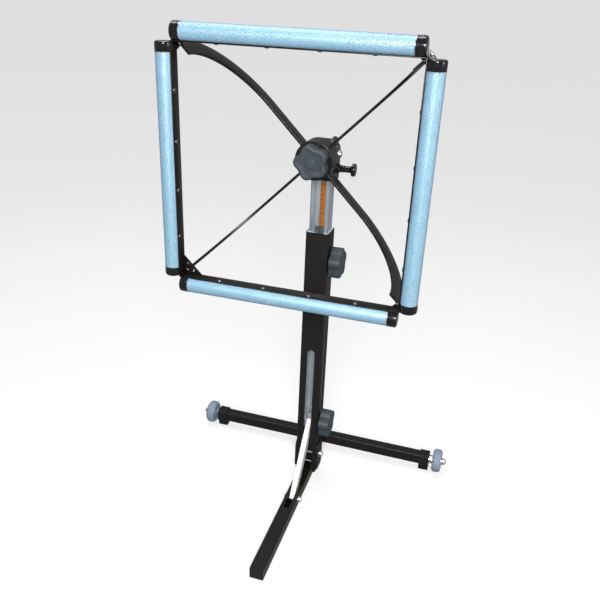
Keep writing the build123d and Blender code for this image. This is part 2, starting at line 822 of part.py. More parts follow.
with BuildPart() as height_knob_pad:
    with BuildSketch(Plane.YZ.offset(inner_half + running_gap)):
        with Locations((0, height_knob_z)):
            Circle(knob_stud_radius + pad_rim)
    extrude(amount=pad_thickness)
save(height_knob_pad, "height_knob_pad")

# ================================ Base ================================

with BuildPart() as rear_spine:
    with BuildSketch(Plane.XZ.offset(-mast_half)):
        with Locations((0, crossbar_z)):
            Rectangle(spine_width, crossbar_size)
            Rectangle(spine_width - 2 * spine_wall, crossbar_size - 2 * spine_wall, mode=Mode.SUBTRACT)
    extrude(amount=-(crossbar_y - crossbar_size / 2 - mast_half))
save(rear_spine, "rear_spine")

with BuildPart() as crossbar:
    with BuildSketch(Plane.YZ):
        with Locations((crossbar_y, crossbar_z)):
            square_tube(crossbar_size, crossbar_wall, crossbar_corner)
    extrude(amount=crossbar_half_length, both=True)
save(crossbar, "crossbar")

plug_size = crossbar_size - 2 * crossbar_wall
axle_plug_length = 30.0
with BuildPart() as crossbar_plugs:
    for side in (-1, 1):
        with BuildSketch(Plane.YZ.offset(side * crossbar_half_length)):
            with Locations((crossbar_y, crossbar_z)):
                RectangleRounded(plug_size, plug_size, plug_edge)
                Circle(axle_radius, mode=Mode.SUBTRACT)
        extrude(amount=-side * axle_plug_length)
save(crossbar_plugs, "crossbar_plugs")

shoe_size = crossbar_size + 2 * shoe_wall
with BuildPart() as rubber_shoes:
    for side in (-1, 1):
        with BuildSketch(Plane.YZ.offset(side * crossbar_half_length)):
            with Locations((crossbar_y, crossbar_z)):
                RectangleRounded(shoe_size, shoe_size, shoe_corner)
            with Locations((crossbar_y, 0)):
                Trapezoid(crossbar_size, crossbar_z, shoe_foot_angle, align=(Align.CENTER, Align.MIN))
            with Locations((crossbar_y, crossbar_z)):
                RectangleRounded(crossbar_size, crossbar_size, crossbar_corner, mode=Mode.SUBTRACT)
        extrude(amount=-side * shoe_length)
save(rubber_shoes, "rubber_shoes")

wheel_inner_x = wheel_center_x - wheel_width / 2
wheel_outer_x = wheel_center_x + wheel_width / 2
axle_nut_x = wheel_outer_x + axle_nut_gap
axle_end_x = axle_nut_x + axle_nut_hex + axle_nut_dome - axle_end_cover
with BuildPart() as axle_bolts:
    for side in (-1, 1):
        with BuildSketch(Plane.YZ.offset(side * (crossbar_half_length - axle_plug_length))):
            with Locations((crossbar_y, crossbar_z)):
                Circle(axle_radius)
        extrude(amount=side * (axle_end_x - crossbar_half_length + axle_plug_length))
save(axle_bolts, "axle_bolts")

with BuildPart() as wheel_spacers:
    for side in (-1, 1):
        with BuildSketch(Plane.YZ.offset(side * crossbar_half_length)):
            with Locations((crossbar_y, crossbar_z)):
                Circle(2.6 * axle_radius)
                Circle(axle_radius, mode=Mode.SUBTRACT)
        extrude(amount=side * (wheel_inner_x - spacer_gap - crossbar_half_length))
save(wheel_spacers, "wheel_spacers")

with BuildPart() as axle_nuts:
    for side in (-1, 1):
        with BuildSketch(Plane.YZ.offset(side * axle_nut_x)):
            with Locations((crossbar_y, crossbar_z)):
                RegularPolygon(axle_nut_radius, 6)
        extrude(amount=side * axle_nut_hex)
        with BuildSketch(Plane.YZ.offset(side * (axle_nut_x + axle_nut_hex))):
            with Locations((crossbar_y, crossbar_z)):
                Circle(0.8 * axle_nut_radius)
        extrude(amount=side * axle_nut_dome, taper=20)
        with BuildSketch(Plane.YZ.offset(side * axle_nut_x)):
            with Locations((crossbar_y, crossbar_z)):
                Circle(axle_radius)
        extrude(amount=side * (axle_end_x - axle_nut_x), mode=Mode.SUBTRACT)
save(axle_nuts, "axle_nuts")

for side, side_name in ((-1, "left"), (1, "right")):
    with BuildPart() as wheel:
        with BuildSketch(Plane.YZ.offset(side * wheel_inner_x)):
            with Locations((crossbar_y, crossbar_z)):
                Circle(wheel_radius)
        extrude(amount=side * wheel_width)
        fillet(wheel.edges().filter_by(GeomType.CIRCLE), wheel_rim_fillet)
        with BuildSketch(Plane.YZ.offset(side * wheel_inner_x)):
            with Locations((crossbar_y, crossbar_z)):
                Circle(axle_radius + shaft_clearance)
        extrude(amount=side * wheel_width, mode=Mode.SUBTRACT)
    save(wheel, f"wheel_{side_name}")

# ================================ Front leg ================================

leg_inner_width = leg_width - 2 * leg_wall
leg_inner_height = leg_height - 2 * leg_wall
leg_slot_front_y = strut_pin_y - leg_slot_front_reach
leg_slot_back_y = strut_pin_y + leg_slot_back_reach
with BuildPart() as front_leg:
    with BuildSketch(Plane.XZ.offset(-leg_back_y)):
        with Locations((0, leg_height / 2)):
            RectangleRounded(leg_width, leg_height, leg_corner)
            RectangleRounded(leg_inner_width, leg_inner_height, leg_inner_corner, mode=Mode.SUBTRACT)
    extrude(amount=leg_back_y - leg_front_y)
    with BuildSketch(Plane.XY.offset(leg_height - 2 * leg_wall)):
        with Locations((0, (leg_slot_front_y + leg_slot_back_y) / 2)):
            Rectangle(strut_thickness + 2 * strut_slot_gap, leg_slot_back_y - leg_slot_front_y)
    extrude(amount=3 * leg_wall, mode=Mode.SUBTRACT)
    with BuildSketch(Plane.YZ):
        with Locations((strut_pin_y, strut_pin_z)):
            Circle(strut_pin_radius)
    extrude(amount=leg_width, both=True, mode=Mode.SUBTRACT)
save(front_leg, "front_leg")

with BuildPart() as leg_end_cap:
    with BuildSketch(Plane.XZ.offset(-leg_front_y)):
        with Locations((0, leg_height / 2)):
            RectangleRounded(leg_width, leg_height, leg_corner)
    extrude(amount=leg_cap_thickness)
    with BuildSketch(Plane.XZ.offset(-leg_front_y)):
        with Locations((0, leg_height / 2)):
            RectangleRounded(leg_inner_width, leg_inner_height, leg_inner_corner)
    extrude(amount=-leg_cap_plug)
save(leg_end_cap, "leg_end_cap")

# The two hinge ears stand on the leg and turn on the hinge bolt.
with BuildPart() as leg_ears:
    for side in (-1, 1):
        with BuildSketch(Plane.YZ.offset(side * leg_half)):
            with Locations((0, hinge_z)):
                Circle(ear_top_margin)
            with BuildLine():
                Polyline(
                    (-ear_half_depth, leg_height),
                    (-ear_half_depth, leg_height + ear_foot_rise),
                    (-ear_top_margin, hinge_z),
                    (ear_top_margin, hinge_z),
                    (leg_back_y, leg_height),
                    close=True,
                )
            make_face()
            with Locations((0, hinge_z)):
                Circle(hinge_bolt_radius + shaft_clearance, mode=Mode.SUBTRACT)
        extrude(amount=-side * ear_thickness)
save(leg_ears, "leg_hinge_ears")

leg_nut_x = leg_half + leg_nut_height
with BuildPart() as leg_pin_bolt:
    with BuildSketch(Plane.YZ.offset(-leg_half)):
        with Locations((strut_pin_y, strut_pin_z)):
            RegularPolygon(2.0 * strut_pin_radius, 6)
    extrude(amount=-bolt_head_height)
    with BuildSketch(Plane.YZ.offset(-leg_half)):
        with Locations((strut_pin_y, strut_pin_z)):
            Circle(strut_pin_radius)
    extrude(amount=leg_half + leg_nut_x + bolt_end)
save(leg_pin_bolt, "leg_pin_bolt")

with BuildPart() as leg_pin_nut:
    with BuildSketch(Plane.YZ.offset(leg_half)):
        with Locations((strut_pin_y, strut_pin_z)):
            RegularPolygon(2.0 * strut_pin_radius, 6)
            Circle(strut_pin_radius, mode=Mode.SUBTRACT)
    extrude(amount=leg_nut_height)
save(leg_pin_nut, "leg_pin_nut")

# The hinge bolt through the mast, with cheek plates outside and spacers inside.
hinge_cheek_base = mast_base + hinge_cheek_rise
hinge_cheek_width = mast_width - 2 * hinge_cheek_margin
hinge_cheek_height = hinge_cheek_top - hinge_cheek_base
with BuildPart() as hinge_cheeks:
    for side in (-1, 1):
        with BuildSketch(Plane.YZ.offset(side * mast_half)):
            with Locations((0, hinge_cheek_base)):
                Rectangle(hinge_cheek_width, hinge_cheek_height, align=(Align.CENTER, Align.MIN))
            fillet(vertices().group_by(Axis.Z)[-1], hinge_cheek_fillet)
            with Locations((0, hinge_z)):
                Circle(hinge_bolt_radius, mode=Mode.SUBTRACT)
        extrude(amount=side * hinge_cheek_thickness)
save(hinge_cheeks, "hinge_cheeks")

hinge_nut_x = mast_half + hinge_cheek_thickness
with BuildPart() as hinge_bolt:
    with BuildSketch(Plane.YZ.offset(-hinge_nut_x)):
        with Locations((0, hinge_z)):
            RegularPolygon(1.9 * hinge_bolt_radius, 6)
    extrude(amount=-bolt_head_height)
    with BuildSketch(Plane.YZ.offset(-hinge_nut_x)):
        with Locations((0, hinge_z)):
            Circle(hinge_bolt_radius)
    extrude(amount=2 * hinge_nut_x + hinge_nut_height + bolt_end)
save(hinge_bolt, "hinge_bolt")

with BuildPart() as hinge_nut:
    with BuildSketch(Plane.YZ.offset(hinge_nut_x)):
        with Locations((0, hinge_z)):
            RegularPolygon(1.9 * hinge_bolt_radius, 6)
            Circle(hinge_bolt_radius, mode=Mode.SUBTRACT)
    extrude(amount=hinge_nut_height)
save(hinge_nut, "hinge_nut")

with BuildPart() as hinge_spacers:
    for side in (-1, 1):
        with BuildSketch(Plane.YZ.offset(side * mast_inside_half)):
            with Locations((0, hinge_z)):
                Circle(2 * hinge_bolt_radius)
                Circle(hinge_bolt_radius, mode=Mode.SUBTRACT)
        extrude(amount=-side * (mast_inside_half - leg_half - running_gap))
save(hinge_spacers, "hinge_spacers")

# ================================ Brace ================================

# The slider runs up inside the mast: two cheeks beside the strut, joined behind it.
slider_half = mast_inside_half - slider_gap
strut_room = strut_thickness / 2 + running_gap
with BuildPart() as strut_slider:
    with BuildSketch(Plane.XY.offset(slider_z - slider_half_height)):
        with Locations((0, slider_half)):
            Rectangle(2 * slider_half, slider_half + slider_front_depth, align=(Align.CENTER, Align.MAX))
        chamfer(vertices().group_by(Axis.Y)[-1], slider_chamfer)
        with Locations((0, slider_pocket_depth)):
            Rectangle(2 * strut_room, mast_width, align=(Align.CENTER, Align.MAX), mode=Mode.SUBTRACT)
    extrude(amount=2 * slider_half_height)
    with BuildSketch(Plane.YZ):
        with Locations((0, slider_z)):
            Circle(pivot_bolt_radius)
    extrude(amount=mast_width, both=True, mode=Mode.SUBTRACT)
save(strut_slider, "strut_slider")

pivot_bolt_end_x = brace_knob_x + knob_thickness - side_knob_web - stud_end_gap
with BuildPart() as strut_pivot_bolt:
    with BuildSketch(Plane.YZ.offset(-slider_half + pivot_end_gap)):
        with Locations((0, slider_z)):
            Circle(pivot_bolt_radius)
    extrude(amount=slider_half - pivot_end_gap + pivot_bolt_end_x)
save(strut_pivot_bolt, "strut_pivot_bolt")

with BuildPart() as clamp_washer:
    with BuildSketch(Plane.YZ.offset(clamp_washer_x)):
        with Locations((0, slider_z)):
            Circle(clamp_washer_radius)
            Circle(pivot_bolt_radius, mode=Mode.SUBTRACT)
    extrude(amount=clamp_washer_thickness)
save(clamp_washer, "clamp_washer")

# The strut: straight along its front, arched along its back, round at its top end, and cut to a
# saddle behind the leg pin at its lower end.
strut_plane = Plane(
    origin=(0, 0, slider_z),
    x_dir=(0, strut_pin_y, strut_pin_z - slider_z),
    z_dir=(1, 0, 0),
)
saddle_y = strut_pin_radius + running_gap
lug_end = strut_length + strut_lug
saddle_x = strut_length - strut_pin_radius - saddle_step
with BuildPart() as brace_strut:
    with BuildSketch(strut_plane):
        with BuildLine():
            Polyline(
                (0, strut_eye_radius),
                (0, -strut_eye_radius),
                (strut_length, -strut_front_depth),
                (lug_end, -strut_front_depth),
                (lug_end, strut_back_depth),
            )
            ThreePointArc(
                (lug_end, strut_back_depth),
                (strut_length / 2, strut_arch_depth),
                (0, strut_eye_radius),
            )
        make_face()
        Circle(strut_eye_radius)
        with BuildLine():
            Polyline(
                (saddle_x, saddle_y),
                (saddle_x - saddle_slope, -2 * strut_front_depth),
                (lug_end + cut_margin, -2 * strut_front_depth),
                (lug_end + cut_margin, saddle_y),
                close=True,
            )
        make_face(mode=Mode.SUBTRACT)
        Circle(pivot_bolt_radius + shaft_clearance, mode=Mode.SUBTRACT)
    extrude(amount=strut_thickness / 2, both=True)
save(brace_strut, "brace_strut")
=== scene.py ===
import json
from math import acos, atan2, cos, degrees, hypot, pi, radians, sin, sqrt, tau

import bmesh
import bpy
from bpy.props import FloatProperty, FloatVectorProperty, IntProperty, PointerProperty
from mathutils import Matrix, Vector


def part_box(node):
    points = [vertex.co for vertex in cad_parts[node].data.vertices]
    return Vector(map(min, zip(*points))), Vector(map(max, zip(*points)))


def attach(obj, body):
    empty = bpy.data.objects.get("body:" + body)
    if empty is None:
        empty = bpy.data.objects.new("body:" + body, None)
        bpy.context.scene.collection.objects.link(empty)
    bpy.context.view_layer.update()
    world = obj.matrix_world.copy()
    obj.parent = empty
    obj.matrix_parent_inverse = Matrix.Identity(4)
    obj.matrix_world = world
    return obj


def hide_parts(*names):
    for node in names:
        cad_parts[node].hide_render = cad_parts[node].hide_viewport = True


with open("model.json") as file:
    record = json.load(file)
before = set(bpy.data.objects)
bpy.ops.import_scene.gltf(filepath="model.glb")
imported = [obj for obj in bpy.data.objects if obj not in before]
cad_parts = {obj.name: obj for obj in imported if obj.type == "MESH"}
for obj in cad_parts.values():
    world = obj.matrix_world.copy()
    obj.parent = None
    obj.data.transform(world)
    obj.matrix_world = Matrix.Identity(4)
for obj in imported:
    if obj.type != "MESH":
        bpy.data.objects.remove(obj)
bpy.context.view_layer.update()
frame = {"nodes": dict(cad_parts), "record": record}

bl_info = {
    "name": "Work Frame Stand",
    "version": (1, 0, 0),
    "blender": (4, 5, 0),
    "location": "View3D > Sidebar > Work Frame",
    "description": "Finishes a square work frame on a folding floor stand",
    "category": "Add Mesh",
}

MM = 0.001
MERGE_DISTANCE = 0.02 * MM
# Height in the mast below which its inside gets the black paint colour: painted shade in the mast's foot, not real
# paint.
FOOT_SHADE_TOP = 150 * MM
OUTWARD = {"right": (1, 0, 0), "top": (0, 0, 1), "left": (-1, 0, 0), "bottom": (0, 0, -1)}
NODES = frame["nodes"]


# ================================ Settings ================================


class SleeveSettings(bpy.types.PropertyGroup):
    """The embossed sleeves on the four tubes."""

    cells_around: IntProperty(
        name="Diamonds Around", description="Diamonds around a sleeve", default=28, min=8
    )
    emboss: FloatProperty(
        name="Emboss", description="How far a diamond stands up", default=0.18 * MM, unit="LENGTH"
    )
    groove: FloatProperty(
        name="Groove", description="Half the groove between diamonds", default=0.34 * MM, unit="LENGTH"
    )
    wall: FloatProperty(
        name="Wall", description="Wall of a sleeve", default=1.2 * MM, unit="LENGTH"
    )
    face_colour: FloatVectorProperty(
        name="Face", description="Colour of the diamonds", subtype="COLOR", default=(0.46, 0.76, 0.86)
    )
    groove_colour: FloatVectorProperty(
        name="Groove Colour", description="Colour between the diamonds", subtype="COLOR",
        default=(0.07, 0.15, 0.34),
    )


class FrameSettings(bpy.types.PropertyGroup):
    """The caps, straps, gussets and arms of the frame."""

    cap_length: FloatProperty(
        name="Cap Length", description="Length of an end cap", default=17 * MM, unit="LENGTH"
    )
    cap_radius: FloatProperty(
        name="Cap Radius", description="Radius of an end cap", default=16 * MM, unit="LENGTH"
    )
    strap_thickness: FloatProperty(
        name="Strap Thickness", description="Thickness of the straps", default=1.5 * MM, unit="LENGTH"
    )
    sleeve_seat: FloatProperty(
        name="Sleeve Seat", description="From a tube's axis to its sleeve's cut side", default=13.9 * MM,
        unit="LENGTH",
    )
    cap_seat: FloatProperty(
        name="Cap Seat", description="From a tube's axis to its caps' flat side", default=14.5 * MM,
        unit="LENGTH",
    )
    gusset_leg: FloatProperty(
        name="Gusset Leg", description="Length of a corner plate's sides", default=17 * MM, unit="LENGTH"
    )
    lower_left_leg: FloatProperty(
        name="Lower Left Leg", description="Length of the lower left plate's sides", default=36 * MM,
        unit="LENGTH",
    )
    gusset_rim: FloatProperty(
        name="Gusset Rim", description="How far a corner plate reaches past the straps", default=10 * MM,
        unit="LENGTH",
    )
    arm_width: FloatProperty(
        name="Arm Width", description="Width of the flat bar of an arm", default=30 * MM, unit="LENGTH"
    )
    arm_thickness: FloatProperty(
        name="Arm Thickness", description="Thickness of an arm", default=5 * MM, unit="LENGTH"
    )
    arm_inset: FloatProperty(
        name="Arm Inset", description="Gap from an arm's end to the corner", default=2 * MM, unit="LENGTH"
    )
    screw_pitch: FloatProperty(
        name="Screw Pitch", description="Distance between strap screws", default=88 * MM, unit="LENGTH"
    )
    screw_head: FloatProperty(
        name="Screw Head", description="Radius of a screw head", default=4.2 * MM, unit="LENGTH"
    )


class KnobSettings(bpy.types.PropertyGroup):
    """The three star knobs."""

    lobes: IntProperty(name="Lobes", description="Lobes of a star knob", default=5, min=3)
    tip_radius: FloatProperty(
        name="Tip Radius", description="Radius at a lobe's tip", default=34 * MM, unit="LENGTH"
    )
    valley_radius: FloatProperty(
        name="Valley Radius", description="Radius between lobes", default=27.5 * MM, unit="LENGTH"
    )
    thickness: FloatProperty(
        name="Thickness", description="Thickness of a star knob", default=24 * MM, unit="LENGTH"
    )
    rim: FloatProperty(
        name="Rim", description="Rounding of a star knob's rim", default=3.5 * MM, unit="LENGTH"
    )
    colour: FloatVectorProperty(
        name="Colour", description="Colour of the knobs", subtype="COLOR", default=(0.030, 0.040, 0.050)
    )


class BaseSettings(bpy.types.PropertyGroup):
    """The wheels, the brace and the scale."""

    wheel_shoulder: FloatProperty(
        name="Wheel Shoulder", description="Slope at each side of a wheel's tread", default=4.5 * MM,
        unit="LENGTH",
    )
    wheel_colour: FloatVectorProperty(
        name="Wheel Colour", description="Colour of the wheels", subtype="COLOR",
        default=(0.20, 0.26, 0.33),
    )
    brace_edge: FloatProperty(
        name="Brace Edge", description="Rounding of the brace's edges", default=1.2 * MM, unit="LENGTH"
    )
    tick_pitch: FloatProperty(
        name="Tick Pitch", description="Distance between the scale's ticks", default=5 * MM, unit="LENGTH"
    )
    scale_colour: FloatVectorProperty(
        name="Scale Colour", description="Colour of the scale strip", subtype="COLOR",
        default=(0.30, 0.10, 0.012),
    )


class StageSettings(bpy.types.PropertyGroup):
    """The camera and the lights."""

    camera_place: FloatVectorProperty(
        name="Camera", description="Place of the camera", subtype="XYZ", unit="LENGTH",
        default=(0.3457, -1.3017, 1.1059),
    )
    camera_target: FloatVectorProperty(
        name="Target", description="Point that the camera faces", subtype="XYZ", unit="LENGTH",
        default=(-0.03835, 0.0, 0.46633),
    )
    camera_roll: FloatProperty(
        name="Roll", description="Roll of the camera", subtype="ANGLE", default=radians(2.42)
    )
    lens: FloatProperty(
        name="Lens", description="Focal length on a 36 mm sensor, in millimetres", default=40.35
    )
    key_power: FloatProperty(
        name="Key Light", description="Power of the front light, in watts", default=95.0, min=0.0
    )
    sky_strength: FloatProperty(
        name="Sky", description="Strength of the white surroundings", default=0.28, min=0.0
    )


# ================================ Mesh helpers ================================


def stand_on(origin, axis, side=(0, 0, 1)):
    """A matrix that stands a piece made along Z on origin, along axis, with its X turned to side."""
    up = Vector(axis).normalized()
    across = Vector(side) - Vector(side).dot(up) * up
    if across.length < 0.1:
        across = up.orthogonal()
    across.normalize()
    turn = Matrix((across, up.cross(across), up)).transposed()
    return Matrix.Translation(origin) @ turn.to_4x4()


def join(body, part, place=Matrix()):
    """Closes a small bmesh, moves it to its place, adds it to a larger one and frees it."""
    bmesh.ops.remove_doubles(part, verts=part.verts, dist=MERGE_DISTANCE)
    bmesh.ops.recalc_face_normals(part, faces=part.faces)
    bmesh.ops.transform(part, matrix=place, verts=part.verts)
    mesh = bpy.data.meshes.new("joined")
    part.to_mesh(mesh)
    part.free()
    body.from_mesh(mesh)
    bpy.data.meshes.remove(mesh)


def make_piece(bm, name, body, materials, stands_for=(), sharp=35.0):
    """Turns a bmesh into a finished piece that rides on a body."""
    mesh = bpy.data.meshes.new(name)
    bm.to_mesh(mesh)
    bm.free()
    for material in materials:
        mesh.materials.append(material)
    mesh.shade_smooth()
    mesh.set_sharp_from_angle(angle=radians(sharp))
    piece = bpy.data.objects.new(name, mesh)
    bpy.context.scene.collection.objects.link(piece)
    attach(piece, body)
    if stands_for:
        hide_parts(*stands_for)
    return piece


def turned(profile, steps=48, closed=False):
    """A turned part: a profile of (radius, height) points spun about Z."""
    part = bmesh.new()
    points = [part.verts.new((radius, 0.0, height)) for radius, height in profile]
    lines = [part.edges.new(pair) for pair in zip(points, points[1:])]
    if closed:
        lines.append(part.edges.new((points[-1], points[0])))
    bmesh.ops.spin(
        part, geom=points + lines, cent=(0, 0, 0), axis=(0, 0, 1), angle=tau, steps=steps, use_merge=True
    )
    return part


def bevel_edges(part, edges, width, segments=2):
    """Rounds edges."""
    bmesh.ops.bevel(
        part, geom=edges, offset=width, offset_type="OFFSET", affect="EDGES", segments=segments,
        profile=0.5, material=-1,
    )


def sharp_edges(part, angle=30.0):
    """The edges of a part where its faces meet at more than an angle."""
    return [e for e in part.edges if e.is_manifold and e.calc_face_angle(0.0) > radians(angle)]


def block(low, high, edge):
    """A box between two corners with rounded edges."""
    part = bmesh.new()
    low, high = Vector(low), Vector(high)
    size = Matrix.Diagonal((*(high - low), 1.0))
    bmesh.ops.create_cube(part, size=1.0, matrix=Matrix.Translation((low + high) / 2) @ size)
    bevel_edges(part, list(part.edges), edge)
    return part


def plate(outline, thickness, edge, segments=2):
    """A flat part: an outline in its XY plane, given its thickness about it, with rounded edges."""
    part = bmesh.new()
    base = part.faces.new([part.verts.new((x, y, -thickness / 2)) for x, y in outline])
    grown = bmesh.ops.extrude_face_region(part, geom=[base])["geom"]
    risen = [v for v in grown if isinstance(v, bmesh.types.BMVert)]
    bmesh.ops.translate(part, vec=(0, 0, thickness), verts=risen)
    bmesh.ops.recalc_face_normals(part, faces=part.faces)
    bevel_edges(part, sharp_edges(part), edge, segments)
    return part


def hexagon(radius, height, chamfer):
    """A hexagonal nut or bolt head whose corners are chamfered."""
    part = bmesh.new()
    middle = Matrix.Translation((0, 0, height / 2))
    bmesh.ops.create_cone(
        part, cap_ends=True, segments=6, radius1=radius, radius2=radius, depth=height, matrix=middle
    )
    bmesh.ops.bevel(
        part, geom=list(part.verts), offset=chamfer, affect="VERTICES", segments=2, profile=0.5,
        material=-1,
    )
    return part


def arc(centre, radius, start, stop, steps):
    """Points along an arc, its angles in degrees."""
    for step in range(steps + 1):
        angle = radians(start + (stop - start) * step / steps)
        yield centre[0] + radius * cos(angle), centre[1] + radius * sin(angle)


def dome(radius, height, base=0.0, steps=6):
    """The profile of a dome from its rim to its top."""
    return [(radius * x, base + height * y) for x, y in arc((0, 0), 1.0, 0, 90, steps)]


# ================================ Material helpers ================================


class Shader:
    """A material that is being put together: its node tree and its main shader."""

    def __init__(self, name, **values):
        self.material = bpy.data.materials.new(name)
        self.material.use_nodes = True
        self.tree = self.material.node_tree
        self.main = self.tree.nodes["Principled BSDF"]
        self.coordinates = self.tree.nodes.new("ShaderNodeTexCoord").outputs["Object"]
        for socket, value in values.items():
            self.main.inputs[socket.replace("_", " ")].default_value = value

    def node(self, kind, inputs=(), **settings):
        """Adds a node, with its settings, and its inputs given by name or place."""
        made = self.tree.nodes.new("ShaderNode" + kind)
        for key, value in settings.items():
            setattr(made, key, value)
        for key, value in dict(inputs).items():
            if isinstance(value, bpy.types.NodeSocket):
                self.tree.links.new(value, made.inputs[key])
            else:
                made.inputs[key].default_value = value
        return made

    def mapped(self, scale=(1, 1, 1), location=(0, 0, 0), rotation=(0, 0, 0)):
        """The object's coordinates, moved, turned and stretched."""
        inputs = {"Vector": self.coordinates, "Scale": scale, "Location": location, "Rotation": rotation}
        return self.node("Mapping", inputs).outputs[0]

    def noise(self, scale, detail=2.0, roughness=0.5, vector=None):
        """Cloudy noise, at a scale in cells to the metre."""
        inputs = {
            "Vector": vector or self.coordinates, "Scale": scale, "Detail": detail, "Roughness": roughness,
        }
        return self.node("TexNoise", inputs).outputs[0]

    def cells(self, scale, feature="F1", vector=None):
        """Cellular noise, at a scale in cells to the metre."""
        inputs = {"Vector": vector or self.coordinates, "Scale": scale}
        return self.node("TexVoronoi", inputs, feature=feature).outputs["Distance"]

    def spread(self, value, low, high, start=0.3, stop=0.7):
        """A value from noise, spread over a range."""
        inputs = {"Value": value, 1: start, 2: stop, 3: low, 4: high}
        return self.node("MapRange", inputs).outputs[0]

    def blend(self, factor, first, second):
        """A colour between two, by a factor."""
        mix = self.node("Mix", {0: factor}, data_type="RGBA")
        for place, colour in ((6, first), (7, second)):
            if isinstance(colour, bpy.types.NodeSocket):
                self.tree.links.new(colour, mix.inputs[place])
            else:
                mix.inputs[place].default_value = (*colour, 1.0)
        return mix.outputs[2]

    def maths(self, operation, first, second=0.0):
        """One sum on one or two values."""
        return self.node("Math", {0: first, 1: second}, operation=operation).outputs[0]

    def bump(self, height, distance, strength=1.0):
        """Gives the surface a fine relief."""
        inputs = {"Height": height, "Distance": distance, "Strength": strength}
        self.set("Normal", self.node("Bump", inputs).outputs[0])

    def set(self, socket, output):
        """Links an output to the main shader."""
        self.tree.links.new(output, self.main.inputs[socket])


def shade(colour, factor):
    """A colour made lighter or darker."""
    return tuple(min(1.0, part * factor) for part in colour)


# ================================ Finishes ================================


def crinkle_paint():
    """Black crinkle paint, and bare galvanised steel inside the mast, with painted shade low inside the mast's
    foot.
    """
    shader = Shader("crinkle_paint", Specular_IOR_Level=0.3)
    cloud = shader.noise(14.0, 4.0)
    grain = shader.noise(1500.0, 3.0, 0.6)
    paint = shader.blend(grain, (0.0025, 0.0025, 0.003), (0.011, 0.0095, 0.0085))
    steel = shader.blend(shader.cells(160.0), (0.27, 0.30, 0.33), (0.46, 0.50, 0.53))
    place = shader.node("SeparateXYZ", {0: shader.coordinates})
    reach = shader.maths(
        "MAXIMUM", shader.maths("ABSOLUTE", place.outputs[0]), shader.maths("ABSOLUTE", place.outputs[1])
    )
    # Below this height the galvanised inside takes the black paint colour: painted shade in the mast's foot.
    above_foot_shade = shader.maths("GREATER_THAN", place.outputs[2], FOOT_SHADE_TOP)
    inside = shader.maths("MULTIPLY", above_foot_shade, shader.maths("LESS_THAN", reach, 22.9 * MM))
    shader.set("Base Color", shader.blend(inside, paint, steel))
    shader.set("Metallic", shader.maths("MULTIPLY", inside, 0.35))
    shader.set("Roughness", shader.spread(cloud, 0.42, 0.58))
    shader.bump(shader.cells(820.0, "SMOOTH_F1"), 0.35 * MM, 0.55)
    return shader.material


def satin_paint():
    """Black satin paint with a slight orange peel and a warm cast."""
    shader = Shader("satin_paint", Specular_IOR_Level=0.35, Coat_Weight=0.06, Coat_Roughness=0.3)
    cloud = shader.noise(30.0, 5.0)
    shader.set("Base Color", shader.blend(cloud, (0.0022, 0.0020, 0.0017), (0.011, 0.0085, 0.0058)))
    shader.set("Roughness", shader.spread(shader.noise(90.0, 4.0), 0.26, 0.40))
    shader.bump(shader.noise(700.0, 2.0), 0.12 * MM, 0.35)
    return shader.material


def bright_plating(name="bright_plating", streaks=(900.0, 900.0, 6.0)):
    """Bright plated steel with drawn streaks along one direction."""
    shader = Shader(name, Metallic=0.8, Anisotropic=0.35)
    lines = shader.noise(1.0, 3.0, 0.6, shader.mapped(streaks))
    wide = shader.noise(1.0, 2.0, 0.5, shader.mapped(shade_scale(streaks, 0.16)))
    tone = shader.maths("MULTIPLY", lines, shader.maths("ADD", wide, 0.5))
    colour = shader.blend(shader.spread(tone, 0.0, 1.0, 0.25, 0.75), (0.30, 0.37, 0.46), (0.84, 0.89, 0.95))
    shader.set("Base Color", colour)
    shader.set("Roughness", shader.spread(lines, 0.16, 0.36))
    shader.bump(lines, 0.05 * MM, 0.4)
    return shader.material


def shade_scale(scale, factor):
    """A stretch made coarser or finer across, and kept along its long direction."""
    return tuple(part * factor if part > 100.0 else part for part in scale)


def zinc_plating(name="zinc_plating", dark=(0.62, 0.64, 0.66), light=(0.90, 0.91, 0.92)):
    """Zinc plated fasteners, slightly cloudy."""
    shader = Shader(name, Metallic=1.0)
    cloud = shader.noise(260.0, 4.0)
    shader.set("Base Color", shader.blend(cloud, dark, light))
    shader.set("Roughness", shader.spread(shader.noise(600.0, 3.0), 0.18, 0.34))
    shader.bump(shader.noise(1800.0, 2.0), 0.03 * MM, 0.3)
    return shader.material


def galvanised_steel():
    """Galvanised steel with its spangle."""
    shader = Shader("galvanised_steel", Metallic=0.7)
    spangle = shader.cells(220.0)
    shader.set("Base Color", shader.blend(spangle, (0.34, 0.37, 0.40), (0.56, 0.60, 0.63)))
    shader.set("Roughness", shader.spread(spangle, 0.38, 0.6, 0.0, 1.0))
    shader.bump(spangle, 0.05 * MM, 0.4)
    return shader.material


def moulded_plastic(name, colour, roughness, texture, grain=900.0, **values):
    """Moulded plastic with a fine spark-eroded texture and rubbed places."""
    shader = Shader(name, **values)
    cloud = shader.noise(45.0, 5.0, 0.6)
    shader.set("Base Color", shader.blend(cloud, shade(colour, 0.7), shade(colour, 1.45)))
    shader.set("Roughness", shader.spread(shader.noise(160.0, 4.0), roughness * 0.85, roughness * 1.15))
    shader.bump(shader.noise(grain, 3.0, 0.6), 0.12 * MM, texture)
    return shader.material


def sleeve_film(name, colour, roughness):
    """The sleeves' metallic film, with a faint drawn grain along and around."""
    shader = Shader(name, Metallic=0.25, Specular_IOR_Level=0.6, Coat_Weight=0.2, Coat_Roughness=0.2)
    cloud = shader.noise(55.0, 4.0)
    shader.set("Base Color", shader.blend(cloud, shade(colour, 0.88), shade(colour, 1.1)))
    shader.set("Roughness", shader.spread(shader.noise(900.0, 3.0), roughness * 0.8, roughness * 1.2))
    shader.bump(shader.noise(2600.0, 2.0), 0.03 * MM, 0.3)
    return shader.material


